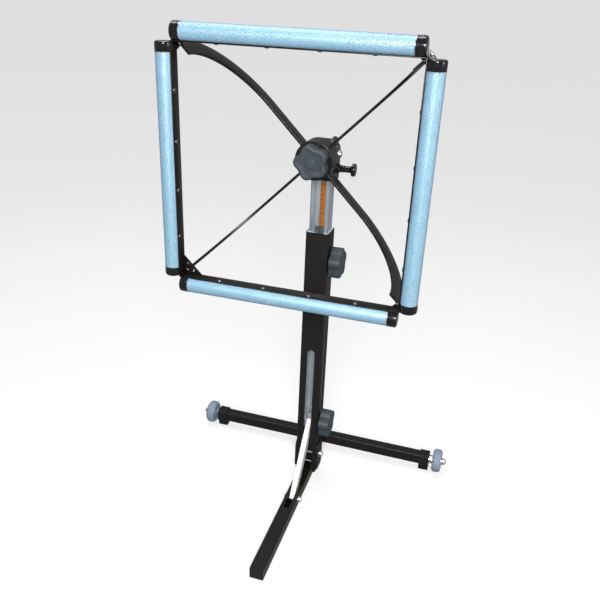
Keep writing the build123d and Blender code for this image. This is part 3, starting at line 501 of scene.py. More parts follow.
def scale_paper(colour):
    """The printed scale strip, worn lighter in places."""
    shader = Shader("scale_paper", Specular_IOR_Level=0.4)
    wear = shader.noise(420.0, 5.0, 0.65)
    shader.set("Base Color", shader.blend(wear, shade(colour, 0.72), shade(colour, 1.25)))
    shader.set("Roughness", shader.spread(wear, 0.45, 0.62))
    shader.bump(shader.noise(2400.0, 2.0), 0.02 * MM, 0.4)
    return shader.material


def printed_ink():
    """The dark ink of the ticks and numbers."""
    shader = Shader("printed_ink")
    shader.set("Base Color", shader.blend(shader.noise(900.0, 3.0), (0.01, 0.008, 0.006), (0.05, 0.035, 0.02)))
    shader.set("Roughness", shader.spread(shader.noise(300.0), 0.4, 0.6))
    return shader.material


def smoked_acrylic():
    """Clear smoked acrylic with faint scuffs."""
    shader = Shader("smoked_acrylic", Transmission_Weight=0.8, IOR=1.49)
    haze = shader.noise(350.0, 5.0, 0.65)
    shader.set("Base Color", shader.blend(haze, (0.16, 0.19, 0.21), (0.30, 0.34, 0.37)))
    shader.set("Roughness", shader.spread(haze, 0.04, 0.22))
    return shader.material


def white_paint():
    """White gloss paint on the brace."""
    shader = Shader("white_paint", Coat_Weight=0.3, Coat_Roughness=0.15)
    cloud = shader.noise(40.0, 4.0)
    shader.set("Base Color", shader.blend(cloud, (0.86, 0.87, 0.88), (0.93, 0.93, 0.93)))
    shader.set("Roughness", shader.spread(cloud, 0.28, 0.42))
    shader.bump(shader.noise(500.0, 2.0), 0.08 * MM, 0.25)
    return shader.material


def grey_rubber(colour):
    """Grey non-marking rubber with moulding streaks."""
    shader = Shader("wheel_rubber", Specular_IOR_Level=0.4)
    cloud = shader.noise(70.0, 5.0, 0.6)
    shader.set("Base Color", shader.blend(cloud, shade(colour, 0.75), shade(colour, 1.35)))
    shader.set("Roughness", shader.spread(cloud, 0.5, 0.75))
    shader.bump(shader.noise(1400.0, 3.0), 0.1 * MM, 0.4)
    return shader.material


def pale_floor():
    """The pale floor of the stage."""
    shader = Shader(
        "pale_floor", Roughness=0.9, Specular_IOR_Level=0.1, Emission_Color=(1.0, 1.0, 1.0, 1.0),
        Emission_Strength=0.58,
    )
    shader.set("Base Color", shader.blend(shader.noise(1.5, 3.0), (0.39, 0.39, 0.40), (0.41, 0.41, 0.41)))
    return shader.material


def make_finishes():
    """Every finish of the stand, by the name of its material slot."""
    scene = bpy.context.scene
    knob_colour = scene.knob_settings.colour
    return {
        "black_crinkle_paint": crinkle_paint(),
        "black_satin_paint": satin_paint(),
        "bright_plated_tube": bright_plating(),
        "zinc_fasteners": zinc_plating(),
        "knob_plastic": moulded_plastic("knob_plastic", knob_colour, 0.52, 0.5, Specular_IOR_Level=0.5),
        "plunger_plastic": moulded_plastic("plunger_plastic", (0.004, 0.004, 0.0045), 0.14, 0.08),
        "cap_plastic": moulded_plastic(
            "cap_plastic", (0.003, 0.0032, 0.005), 0.12, 0.05, Coat_Weight=0.4, Coat_Roughness=0.05
        ),
        "patterned_sleeve": sleeve_film("sleeve_face", scene.sleeve_settings.face_colour, 0.3),
        "core_tube": bright_plating("core_tube", (500.0, 500.0, 500.0)),
        "scale_paper": scale_paper(scene.base_settings.scale_colour),
        "smoked_cursor": smoked_acrylic(),
        "glide_nylon": moulded_plastic("glide_nylon", (0.62, 0.63, 0.62), 0.42, 0.2, Subsurface_Weight=0.1),
        "galvanised_slider": galvanised_steel(),
        "white_brace": white_paint(),
        "shoe_rubber": moulded_plastic(
            "shoe_rubber", (0.006, 0.006, 0.006), 0.7, 0.6, Specular_IOR_Level=0.3
        ),
        "wheel_rubber": grey_rubber(scene.base_settings.wheel_colour),
    }


def finish(slot):
    """The finish that a material slot names."""
    if slot not in FINISHES:
        raise RuntimeError(f"there is no finish for the slot {slot}; run Finish Metalwork first")
    return FINISHES[slot]


FINISHES = {}


# ================================ Frame ================================


def tube_line(side):
    """A tube's start, its unit direction, its length, its radius and its inward direction."""
    low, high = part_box(f"patterned_sleeve_{side}")
    radius = (high.y - low.y) / 2
    outward = Vector(OUTWARD[side])
    along = Vector((0, 0, 1)) if outward.x else Vector((1, 0, 0))
    rim = high if side in ("right", "top") else low
    start = Vector((low.x, (low.y + high.y) / 2, low.z))
    start += outward * ((rim - start).dot(outward) - radius)
    return start, along, (high - low).dot(along), radius, -outward


def cut_flat(part, reach, side):
    """Cuts a part along Z flat where it passes a reach along its Y, and closes it."""
    everything = part.verts[:] + part.edges[:] + part.faces[:]
    bmesh.ops.bisect_plane(
        part, geom=everything, dist=MERGE_DISTANCE / 10, plane_co=(0, side * reach, 0),
        plane_no=(0, side, 0), clear_outer=True,
    )
    bmesh.ops.holes_fill(part, edges=[edge for edge in part.edges if edge.is_boundary])


def embossed_sleeve(length, radius, settings):
    """A sleeve along Z with raised diamonds in slanting rows, and its inner wall."""
    around = settings.cells_around
    rows = round(length / (tau * radius / around))
    part = bmesh.new()
    ring = bmesh.ops.create_circle(part, cap_ends=False, segments=around, radius=radius)["verts"]
    level = list({edge for vert in ring for edge in vert.link_edges})
    for _ in range(rows):
        grown = bmesh.ops.extrude_edge_only(part, edges=level)["geom"]
        risen = [v for v in grown if isinstance(v, bmesh.types.BMVert)]
        bmesh.ops.translate(part, vec=(0, 0, length / rows), verts=risen)
        level = [e for e in grown if isinstance(e, bmesh.types.BMEdge) and all(v in risen for v in e.verts)]
    squares = [edge for edge in part.edges if not edge.is_boundary]
    bmesh.ops.poke(part, faces=part.faces[:])
    bmesh.ops.dissolve_edges(part, edges=squares, use_verts=False)
    for vert in part.verts:
        vert.co.xy = vert.co.xy.normalized() * radius
    bmesh.ops.recalc_face_normals(part, faces=part.faces)
    rims = [edge for edge in part.edges if edge.is_boundary]
    diamonds = [face for face in part.faces if len(face.verts) == 4]
    bmesh.ops.inset_individual(
        part, faces=diamonds, thickness=settings.groove, depth=-settings.emboss, use_even_offset=True
    )
    tops = set(diamonds)
    for face in part.faces:
        face.material_index = 0 if face in tops else 1
    turned_in = bmesh.ops.extrude_edge_only(part, edges=rims)["geom"]
    inner = [v for v in turned_in if isinstance(v, bmesh.types.BMVert)]
    for vert in inner:
        vert.co.xy = vert.co.xy.normalized() * (radius - settings.wall)
    loops = [e for e in turned_in if isinstance(e, bmesh.types.BMEdge) and e.is_boundary]
    bmesh.ops.bridge_loops(part, edges=loops)
    return part


class STAND_OT_add_sleeves(bpy.types.Operator):
    """Add the four embossed sleeves"""

    bl_idname = "stand.add_sleeves"
    bl_label = "Add Sleeves"

    def execute(self, context):
        settings = context.scene.sleeve_settings
        groove = sleeve_film("sleeve_groove", settings.groove_colour, 0.4)
        for side in OUTWARD:
            start, along, length, radius, inward = tube_line(side)
            bm = bmesh.new()
            part = embossed_sleeve(length, radius - settings.emboss, settings)
            cut_flat(part, context.scene.frame_settings.sleeve_seat, 1)
            join(bm, part, stand_on(start, along, inward.cross(along)))
            materials = [finish("patterned_sleeve"), groove]
            stands_for = (f"patterned_sleeve_{side}",)
            make_piece(bm, f"sleeve_{side}", "work_frame", materials, stands_for, 50.0)
            collar = self.add_collars(start, along, length, radius, inward, context)
            make_piece(collar, f"collars_{side}", "work_frame", [finish("core_tube")])
        return {"FINISHED"}

    def add_collars(self, start, along, length, radius, inward, context):
        """The bright crimped rings at a sleeve's two ends."""
        width, wall = 1.5 * MM, 0.5 * MM
        profile = [(radius - wall, 0), (radius, 0), (radius, width), (radius - wall, width)]
        bm = bmesh.new()
        for origin, axis in ((start, along), (start + along * length, -along)):
            part = turned(profile, 48, closed=True)
            cut_flat(part, context.scene.frame_settings.sleeve_seat, 1)
            join(bm, part, stand_on(origin, axis, inward.cross(axis)))
        return bm


def end_cap(radius, length):
    """An end cap: a lip against the sleeve, a shallow groove and a domed end."""
    lip, groove, crown = 2.6 * MM, 0.5 * MM, 3.4 * MM
    profile = [
        (0.0, 0.0),
        (radius - 0.6 * MM, 0.0),
        (radius, 0.5 * MM),
        (radius, lip),
        (radius - groove, lip + groove),
        (radius - groove, lip + 2 * groove),
        (radius, lip + 3 * groove),
    ]
    profile += list(arc((radius - crown, length - crown), crown, 0, 80, 8))
    profile.append((0.0, length))
    return turned(profile, 56)


class STAND_OT_add_end_caps(bpy.types.Operator):
    """Add the caps on the ends of the four tubes"""

    bl_idname = "stand.add_end_caps"
    bl_label = "Add End Caps"

    def execute(self, context):
        settings = context.scene.frame_settings
        bm = bmesh.new()
        for side in OUTWARD:
            start, along, length, _radius, inward = tube_line(side)
            for origin, outwards in ((start, -along), (start + along * length, along)):
                part = end_cap(settings.cap_radius, settings.cap_length)
                cut_flat(part, settings.cap_seat, 1)
                join(bm, part, stand_on(origin, outwards, inward.cross(outwards)))
        make_piece(bm, "end_caps", "work_frame", [finish("cap_plastic")], ("tube_caps",))
        return {"FINISHED"}


def bowed_arm_half(root, flat, bend, back_y, width, thickness):
    """Half an arm along X: straight from the hub, then bent forward in a quarter round."""
    part = bmesh.new()
    front_y = back_y - width
    corners = ((front_y, -1), (back_y, -1), (back_y, 1), (front_y, 1))
    section = part.faces.new([part.verts.new((root, y, side * thickness / 2)) for y, side in corners])
    bmesh.ops.bevel(
        part, geom=list(section.verts), offset=0.9 * MM, affect="VERTICES", segments=3, profile=0.5,
        material=-1,
    )
    part.faces.ensure_lookup_table()
    grown = bmesh.ops.extrude_face_region(part, geom=[part.faces[0]])["geom"]
    risen = [v for v in grown if isinstance(v, bmesh.types.BMVert)]
    bmesh.ops.translate(part, vec=(flat - root, 0, 0), verts=risen)
    end = [f for f in grown if isinstance(f, bmesh.types.BMFace)]
    centre = (flat, back_y - width / 2 - bend, 0)
    bmesh.ops.spin(part, geom=end, cent=centre, axis=(0, 0, 1), angle=-pi / 2, steps=28, use_merge=False)
    bmesh.ops.delete(part, geom=end, context="FACES_ONLY")
    return part


class STAND_OT_add_frame_bars(bpy.types.Operator):
    """Add the straps, the gussets and the two bowed arms"""

    bl_idname = "stand.add_frame_bars"
    bl_label = "Add Frame Bars"

    def execute(self, context):
        settings = context.scene.frame_settings
        self.add_straps(settings)
        self.add_gussets(settings)
        self.add_arms(settings)
        return {"FINISHED"}

    def add_straps(self, settings):
        low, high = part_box("frame_straps")
        edge = 0.3 * MM
        step = settings.strap_thickness
        bm = bmesh.new()
        join(bm, block(low, (high.x, high.y, low.z + step), edge))
        join(bm, block((low.x, low.y, high.z - step), high, edge))
        join(bm, block((low.x, low.y, low.z + step), (low.x + step, high.y, high.z - step), edge))
        join(bm, block((high.x - step, low.y, low.z + step), (high.x, high.y, high.z - step), edge))
        paint = [finish("black_satin_paint")]
        make_piece(bm, "straps", "work_frame", paint, ("frame_straps",))

    def add_gussets(self, settings):
        low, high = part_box("corner_gussets")
        strap_low, strap_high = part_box("frame_straps")
        rim = settings.gusset_rim
        place = Matrix.Translation((0, (low.y + high.y) / 2, 0)) @ Matrix.Rotation(pi / 2, 4, "X")
        bm = bmesh.new()
        for x, side_x in ((strap_low.x, -1), (strap_high.x, 1)):
            for z, side_z in ((strap_low.z, -1), (strap_high.z, 1)):
                leg = settings.lower_left_leg if side_x + side_z == -2 else settings.gusset_leg
                corners = ((-leg, 0), (0, -leg), (rim, -rim), (rim, 0), (0, rim), (-rim, rim))
                outline = [(x + side_x * across, z + side_z * up) for across, up in corners]
                join(bm, plate(outline, high.y - low.y, 0.5 * MM), place)
        paint = [finish("black_satin_paint")]
        make_piece(bm, "gussets", "work_frame", paint, ("corner_gussets",))

    def add_arms(self, settings):
        hub = (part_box("hub_drum")[0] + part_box("hub_drum")[1]) / 2
        back_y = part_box("cross_arm_falling")[1].y
        gusset_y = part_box("corner_gussets")[1].y
        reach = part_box("frame_straps")[1].x * sqrt(2) - settings.arm_inset - settings.arm_width / 2
        bend = back_y - settings.arm_width / 2 - gusset_y
        root = (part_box("hub_drum")[1].x - hub.x) - 8 * MM
        for name, slope in (("falling", -1), ("rising", 1)):
            across = Vector((1, 0, slope)).normalized()
            bm = bmesh.new()
            for side in (1, -1):
                part = bowed_arm_half(
                    root, reach - bend, bend, back_y, settings.arm_width, settings.arm_thickness
                )
                turn = Matrix((across * side, Vector((0, 1, 0)), (across * side).cross((0, 1, 0))))
                join(bm, part, Matrix.Translation((0, 0, hub.z)) @ turn.transposed().to_4x4())
            paint = [finish("black_satin_paint")]
            stands_for = (f"cross_arm_{name}",)
            make_piece(bm, f"arm_{name}", "work_frame", paint, stands_for)


# ================================ Fasteners ================================


def screw_head(radius, height, steps=32):
    """A pan head along Z with a cross recess."""
    slot_reach, slot_half, slot_depth = 0.52 * radius, 0.14 * radius, 0.55 * height
    crown = dome(radius, height * 0.72, height * 0.2)
    rim = [(radius, 0.0)] + [point for point in crown if point[0] > slot_reach]
    top = rim[-1][1] + 0.05 * height
    profile = [(0.0, 0.0)] + rim + [(slot_reach, top), (slot_reach, top - slot_depth), (0.0, top - slot_depth)]
    part = turned(profile, steps)
    for vert in part.verts:
        distance = hypot(vert.co.x, vert.co.y)
        if abs(distance - slot_reach) < 0.01 * radius and vert.co.z > 0.2 * height:
            nearest = min(abs(vert.co.x), abs(vert.co.y)) / distance
            vert.co.xy *= min(1.0, slot_half / max(nearest, 0.01) / slot_reach)
    return part


def acorn_nut(hex_radius, hex_height, dome_radius, dome_height, washer_radius=0.0, washer_height=0.0):
    """A hexagonal nut with a domed cap, and a washer under it where it has one."""
    part = bmesh.new()
    if washer_radius:
        join(part, turned([(0, 0), (washer_radius, 0), (washer_radius, washer_height), (0, washer_height)], 32))
    join(part, hexagon(hex_radius, hex_height, 0.12 * hex_radius), Matrix.Translation((0, 0, washer_height)))
    base = washer_height + hex_height
    join(part, turned([(0, base - 0.2 * MM), (dome_radius, base - 0.2 * MM)] + dome(dome_radius, dome_height, base), 32))
    return part


def bolt_head(radius, height, washer_radius=0.0, washer_height=0.0):
    """A hexagonal bolt head over a washer."""
    part = bmesh.new()
    if washer_radius:
        join(part, turned([(0, 0), (washer_radius, 0), (washer_radius, washer_height), (0, washer_height)], 32))
    rest = height - washer_height
    join(part, hexagon(radius, rest, 0.12 * radius), Matrix.Translation((0, 0, washer_height)))
    return part


def add_screws(name, body, node, places, radius, height, plating):
    """Adds a set of like screws in place of a node."""
    bm = bmesh.new()
    for place in places:
        join(bm, screw_head(radius, height), place)
    return make_piece(bm, name, body, [plating], (node,))


class STAND_OT_add_screws(bpy.types.Operator):
    """Add the screws of the frame and the mast's stop screw"""

    bl_idname = "stand.add_screws"
    bl_label = "Add Screws"

    def execute(self, context):
        settings = context.scene.frame_settings
        low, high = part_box("frame_straps")
        middle = (low + high) / 2
        outer = high.x
        head, head_height = settings.screw_head, 2.4 * MM
        start, _along, length, _radius, _inward = tube_line("right")
        inner = outer - settings.strap_thickness
        reach = (length + settings.cap_length) / 2

        strap_places = []
        set_places = []
        for outward in OUTWARD.values():
            outward = Vector(outward)
            along = Vector((-outward.z, 0, outward.x))
            for step in (-1.5, -0.5, 0.5, 1.5):
                spot = Vector((0, start.y, middle.z)) + outward * inner + along * step * settings.screw_pitch
                strap_places.append(stand_on(spot, -outward, (0, 1, 0)))
            rim = start.x + settings.cap_radius - 0.2 * MM
            spot = Vector((0, start.y, middle.z)) + outward * rim - along * reach
            set_places.append(stand_on(spot, outward, (0, 1, 0)))
        dull = zinc_plating("dull_plating", (0.16, 0.16, 0.17), (0.42, 0.42, 0.43))
        add_screws("strap_screw_heads", "work_frame", "strap_screws", strap_places, head, head_height, dull)
        add_screws("cap_screw_heads", "work_frame", "cap_set_screws", set_places, 2.6 * MM, 1.4 * MM, dull)

        gusset_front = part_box("corner_gussets")[0].y
        places = []
        for side_x in (1, -1):
            for side_z in (1, -1):
                insets = [(6.5, 6.5), (-3, -3)]
                if side_x + side_z == -2:
                    insets += [(7, 20), (20, 7)]
                for dx, dz in insets:
                    x = side_x * (outer - dx * MM)
                    z = middle.z + side_z * (outer - dz * MM)
                    places.append(stand_on((x, gusset_front, z), (0, -1, 0), (1, 0, 0.4 * dx / dz)))
        add_screws("gusset_screw_heads", "work_frame", "gusset_screws", places, 2.8 * MM, 1.8 * MM, dull)

        low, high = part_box("stop_screw")
        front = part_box("outer_mast")[0].y
        place = stand_on((0, front, (low.z + high.z) / 2), (0, -1, 0), (1, 0, 0.5))
        black = finish("plunger_plastic")
        add_screws("mast_stop_screw", "base", "stop_screw", [place], 4.5 * MM, 1.6 * MM, black)
        return {"FINISHED"}


class STAND_OT_add_nuts(bpy.types.Operator):
    """Add the nuts and bolt heads of the head, the leg and the axles"""

    bl_idname = "stand.add_nuts"
    bl_label = "Add Nuts"

    def execute(self, context):
        zinc = [finish("zinc_fasteners")]

        low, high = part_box("tilt_nut")
        middle = (low + high) / 2
        bm = bmesh.new()
        nut = acorn_nut(8.25 * MM, 4 * MM, 6.4 * MM, 3 * MM, 9.5 * MM, 1.5 * MM)
        join(bm, nut, stand_on((low.x, middle.y, middle.z), (1, 0, 0)))
        make_piece(bm, "tilt_acorn_nut", "sliding_mast", zinc, ("tilt_nut",))

        head_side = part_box("mast_head")[0].x
        bm = bmesh.new()
        join(bm, bolt_head(9 * MM, 4.5 * MM, 9.8 * MM, 1.2 * MM), stand_on((head_side, 0, middle.z), (-1, 0, 0)))
        shank = [(0, 0), (5 * MM, 0), (5 * MM, low.x - head_side), (0, low.x - head_side)]
        join(bm, turned(shank, 32), stand_on((head_side, 0, middle.z), (1, 0, 0)))
        make_piece(bm, "tilt_hex_bolt", "sliding_mast", zinc, ("tilt_bolt",))

        self.add_cross_bolt("hinge", "base", 7.6 * MM, zinc)
        self.add_cross_bolt("leg_pin", "folding_leg", 6 * MM, zinc)

        low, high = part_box("axle_nuts")
        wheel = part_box("wheel_right")
        nut_start = wheel[1].x + 1 * MM
        bm = bmesh.new()
        for side in (-1, 1):
            nut = acorn_nut(8 * MM, 6 * MM, 6.2 * MM, high.x - nut_start - 6 * MM, 8.6 * MM, 0.0)
            origin = (side * nut_start, (low.y + high.y) / 2, (low.z + high.z) / 2)
            join(bm, nut, stand_on(origin, (side, 0, 0)))
            washer = turned([(0, 0), (9.5 * MM, 0), (9.5 * MM, 0.9 * MM), (0, 0.9 * MM)], 32)
            join(bm, washer, stand_on((side * wheel[1].x, origin[1], origin[2]), (side, 0, 0)))
        make_piece(bm, "axle_acorn_nuts", "base", zinc, ("axle_nuts",))
        return {"FINISHED"}

    def add_cross_bolt(self, name, body, radius, zinc):
        """A bolt right across a tube, with its head on the left and its nut on the right."""
        bolt_low, bolt_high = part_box(f"{name}_bolt")
        nut_low, nut_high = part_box(f"{name}_nut")
        y, z = (nut_low.y + nut_high.y) / 2, (nut_low.z + nut_high.z) / 2
        shank_radius = (4 if name == "hinge" else 3) * MM
        head_side = bolt_low.x + 4 * MM
        bm = bmesh.new()
        join(bm, bolt_head(radius, 4 * MM, radius * 1.12, 0.9 * MM), stand_on((head_side, y, z), (-1, 0, 0)))
        length = bolt_high.x - head_side
        shank = [(0, 0), (shank_radius, 0), (shank_radius, length - 0.8 * MM), (shank_radius - 0.8 * MM, length)]
        join(bm, turned(shank + [(0, length)], 32), stand_on((head_side, y, z), (1, 0, 0)))
        make_piece(bm, f"{name}_hex_bolt", body, zinc, (f"{name}_bolt",))
        bm = bmesh.new()
        height = nut_high.x - nut_low.x
        washer = radius * (1.12 if name == "hinge" else 1.5)
        join(bm, bolt_head(radius, height, washer, 0.9 * MM), stand_on((nut_low.x, y, z), (1, 0, 0)))
        make_piece(bm, f"{name}_hex_nut", body, zinc, (f"{name}_nut",))


# ================================ Knobs ================================


def star_knob(settings, turn):
    """A star knob along Z: lobes, a rounded rim, a dished face and a round middle."""
    part = bmesh.new()
    ring = bmesh.ops.create_circle(part, cap_ends=True, segments=150, radius=1.0)["verts"]
    for vert in ring:
        angle = atan2(vert.co.y, vert.co.x)
        reach = (0.5 + 0.5 * cos(settings.lobes * (angle - turn))) ** 0.75
        radius = settings.valley_radius + (settings.tip_radius - settings.valley_radius) * reach
        vert.co.xy = (radius * cos(angle), radius * sin(angle))
    bmesh.ops.recalc_face_normals(part, faces=part.faces)
    part.faces.ensure_lookup_table()
    if part.faces[0].normal.z < 0:
        bmesh.ops.reverse_faces(part, faces=part.faces[:])
    top = part.faces[0]
    rise = settings.thickness - settings.rim
    grown = bmesh.ops.extrude_face_region(part, geom=[top], use_keep_orig=True)["geom"]
    risen = [v for v in grown if isinstance(v, bmesh.types.BMVert)]
    bmesh.ops.translate(part, vec=(0, 0, rise), verts=risen)
    face = next(f for f in grown if isinstance(f, bmesh.types.BMFace))
    steps = 5
    turns = [radians(90 * step / steps) for step in range(steps + 1)]
    for before, after in zip(turns, turns[1:]):
        inwards = settings.rim * (cos(before) - cos(after))
        upwards = settings.rim * (sin(after) - sin(before))
        bmesh.ops.inset_region(part, faces=[face], thickness=inwards, depth=upwards, use_even_offset=True)
    for inwards, upwards in ((3.5 * MM, 0.0), (1.0 * MM, -0.35 * MM), (3.0 * MM, -0.25 * MM)):
        bmesh.ops.inset_region(part, faces=[face], thickness=inwards, depth=upwards, use_even_offset=True)
    boss, base = 11 * MM, settings.thickness - 1.2 * MM
    join(part, turned([(0, base), (boss, base)] + list(arc((boss - 1 * MM, base + 0.6 * MM), 1 * MM, 0, 90, 4))
                      + [(0, base + 1.9 * MM)], 48))
    return part


class STAND_OT_add_star_knobs(bpy.types.Operator):
    """Add the three star knobs"""

    bl_idname = "stand.add_star_knobs"
    bl_label = "Add Star Knobs"

    def execute(self, context):
        settings = context.scene.knob_settings
        plastic = [finish("knob_plastic")]
        knobs = (
            ("frame_knob", "frame_clamp", (0, -1, 0), (1, 0, 0), radians(36)),
            ("height_knob", "height_clamp", (1, 0, 0), (0, 1, 0), radians(90)),
            ("brace_knob", "brace_clamp", (1, 0, 0), (0, 1, 0), radians(90)),
        )
        for node, body, axis, side, turn in knobs:
            low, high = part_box(node)
            axis = Vector(axis)
            centre = (low + high) / 2
            centre.z = KNOB_HEIGHTS[node]()
            centre = centre if node == "frame_knob" else Vector((centre.x, 0.0, centre.z))
            centre.x = 0.0 if node == "frame_knob" else centre.x
            base = centre - axis * settings.thickness / 2
            bm = bmesh.new()
            join(bm, star_knob(settings, turn), stand_on(base, axis, side))
            make_piece(bm, f"{node}_star", body, plastic, (node,), 32.0)
        return {"FINISHED"}


def middle_height(node):
    """The height of the middle of a round node."""
    low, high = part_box(node)
    return (low.z + high.z) / 2


KNOB_HEIGHTS = {
    "frame_knob": lambda: middle_height("hub_drum"),
    "height_knob": lambda: middle_height("height_knob_stud"),
    "brace_knob": lambda: middle_height("strut_pivot_bolt"),
}


class STAND_OT_add_plunger(bpy.types.Operator):
    """Add the index plunger: its housing, its spring and its knob"""

    bl_idname = "stand.add_plunger"
    bl_label = "Add Plunger"

    def execute(self, context):
        height = middle_height("plunger_pin")
        low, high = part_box("plunger_housing")
        length = high.x - low.x
        bm = bmesh.new()
        join(bm, hexagon(9.5 * MM, 5 * MM, 1.1 * MM), stand_on((low.x, 0, height), (1, 0, 0)))
        barrel = [
            (3.2 * MM, 4.8 * MM),
            (7 * MM, 4.8 * MM),
            (7 * MM, length - 0.8 * MM),
            (6.2 * MM, length),
            (5.3 * MM, length),
            (5.3 * MM, length - 9 * MM),
            (3.2 * MM, length - 9 * MM),
        ]
        join(bm, turned(barrel, 40, closed=True), stand_on((low.x, 0, height), (1, 0, 0)))
        gloss = [finish("plunger_plastic")]
        make_piece(bm, "plunger_bush", "sliding_mast", gloss, ("plunger_housing",))

        low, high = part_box("plunger_spring")
        self.add_spring(low, high, height, [finish("zinc_fasteners")])

        low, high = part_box("plunger_knob")
        length = high.x - low.x
        stem, cap = 6.5 * MM, 13 * MM
        profile = [(0, 0), (5.9 * MM, 0), (stem, 0.6 * MM), (stem, 10 * MM)]
        profile += [(7 * MM, 12.2 * MM), (8.4 * MM, 13.6 * MM), (cap - 1.2 * MM, 14.2 * MM), (cap, 15.2 * MM)]
        profile += list(arc((cap - 2.6 * MM, length - 2.6 * MM), 2.6 * MM, 0, 75, 6))
        profile += [(5 * MM, length - 0.1 * MM), (0, length)]
        bm = bmesh.new()
        join(bm, turned(profile, 56), stand_on((low.x, 0, height), (1, 0, 0)))
        make_piece(bm, "plunger_grip", "index_plunger", gloss, ("plunger_knob",))
        return {"FINISHED"}

    def add_spring(self, low, high, height, zinc):
        wire, turns, turn_steps = 0.55 * MM, 6, 18
        radius = (high.y - low.y) / 2 - wire
        part = bmesh.new()
        section = bmesh.ops.create_circle(
            part, cap_ends=True, segments=8, radius=wire,
            matrix=stand_on((radius, 0, wire), (0, 1, 0)),
        )["verts"]
        face = section[0].link_faces[0]
        rise = (high.x - low.x - 2 * wire) / (turns * turn_steps)
        bmesh.ops.spin(
            part, geom=[face], cent=(0, 0, 0), axis=(0, 0, 1), dvec=(0, 0, rise), angle=tau * turns,
            steps=turns * turn_steps, use_merge=False,
        )
        bm = bmesh.new()
        join(bm, part, stand_on((low.x, 0, height), (1, 0, 0)))
        make_piece(bm, "plunger_coil", "sliding_mast", zinc, ("plunger_spring",))


# ================================ Mast and base ================================


class STAND_OT_add_scale(bpy.types.Operator):
    """Add the ticks and numbers of the scale, and its cursor"""

    bl_idname = "stand.add_scale"
    bl_label = "Add Scale"

    def execute(self, context):
        pitch = context.scene.base_settings.tick_pitch
        low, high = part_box("height_scale")
        face, proud = low.y, 0.06 * MM
        ticks = int((high.z - low.z) / pitch)
        bm = bmesh.new()
        for tick in range(1, ticks):
            z = low.z + tick * pitch
            reach = (6.0 if tick % 2 == 0 else 4.2) * MM
            half = (0.6 if tick % 2 == 0 else 0.4) * MM
            join(bm, block((low.x + 0.4 * MM, face - proud, z - half), (low.x + reach, face, z + half), 0.01 * MM))
            if tick % 4 == 0:
                self.add_number(bm, str(tick // 4), Vector((high.x - 0.6 * MM, face - proud, z)))
        ink = [printed_ink()]
        make_piece(bm, "scale_marks", "sliding_mast", ink)

        low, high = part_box("scale_cursor")
        bm = bmesh.new()
        join(bm, block(low, high, 1.2 * MM))
        smoke = [finish("smoked_cursor")]
        make_piece(bm, "cursor_block", "base", smoke, ("scale_cursor",))
        middle = (low.z + high.z) / 2
        bm = bmesh.new()
        line = block(
            (low.x + 1.5 * MM, low.y - 0.05 * MM, middle - 0.3 * MM),
            (high.x - 1.5 * MM, low.y + 0.05 * MM, middle + 0.3 * MM),
            0.01 * MM,
        )
        join(bm, line)
        make_piece(bm, "cursor_line", "base", ink)
        return {"FINISHED"}

    def add_number(self, bm, text, right_end):
        """A number as a thin raised shape, standing on the scale, its right end at a point."""
        curve = bpy.data.curves.new("number", "FONT")
        curve.body = text
        curve.size = 4.2 * MM
        curve.align_x, curve.align_y = "RIGHT", "CENTER"
        curve.resolution_u = 3
        curve.extrude = 0.03 * MM
        maker = bpy.data.objects.new("number", curve)
        mesh = bpy.data.meshes.new_from_object(maker)
        part = bmesh.new()
        part.from_mesh(mesh)
        bpy.data.objects.remove(maker)
        bpy.data.curves.remove(curve)
        bpy.data.meshes.remove(mesh)
        join(bm, part, Matrix.Translation(right_end) @ Matrix.Rotation(pi / 2, 4, "X"))


class STAND_OT_add_foot_lip(bpy.types.Operator):
    """Add the lip that closes the mast's foot behind the leg"""

    bl_idname = "stand.add_foot_lip"
    bl_label = "Add Foot Lip"

    def execute(self, context):
        low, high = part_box("outer_mast")
        half, wall = (high.x - low.x) / 2 - 2.6 * MM, 2.2 * MM
        bm = bmesh.new()
        join(bm, block((-half, high.y - wall, low.z - 7 * MM), (half, high.y - 0.2 * MM, low.z + 1 * MM), 0.4 * MM))
        paint = [finish("black_crinkle_paint")]
        make_piece(bm, "mast_foot_lip", "base", paint)
        return {"FINISHED"}


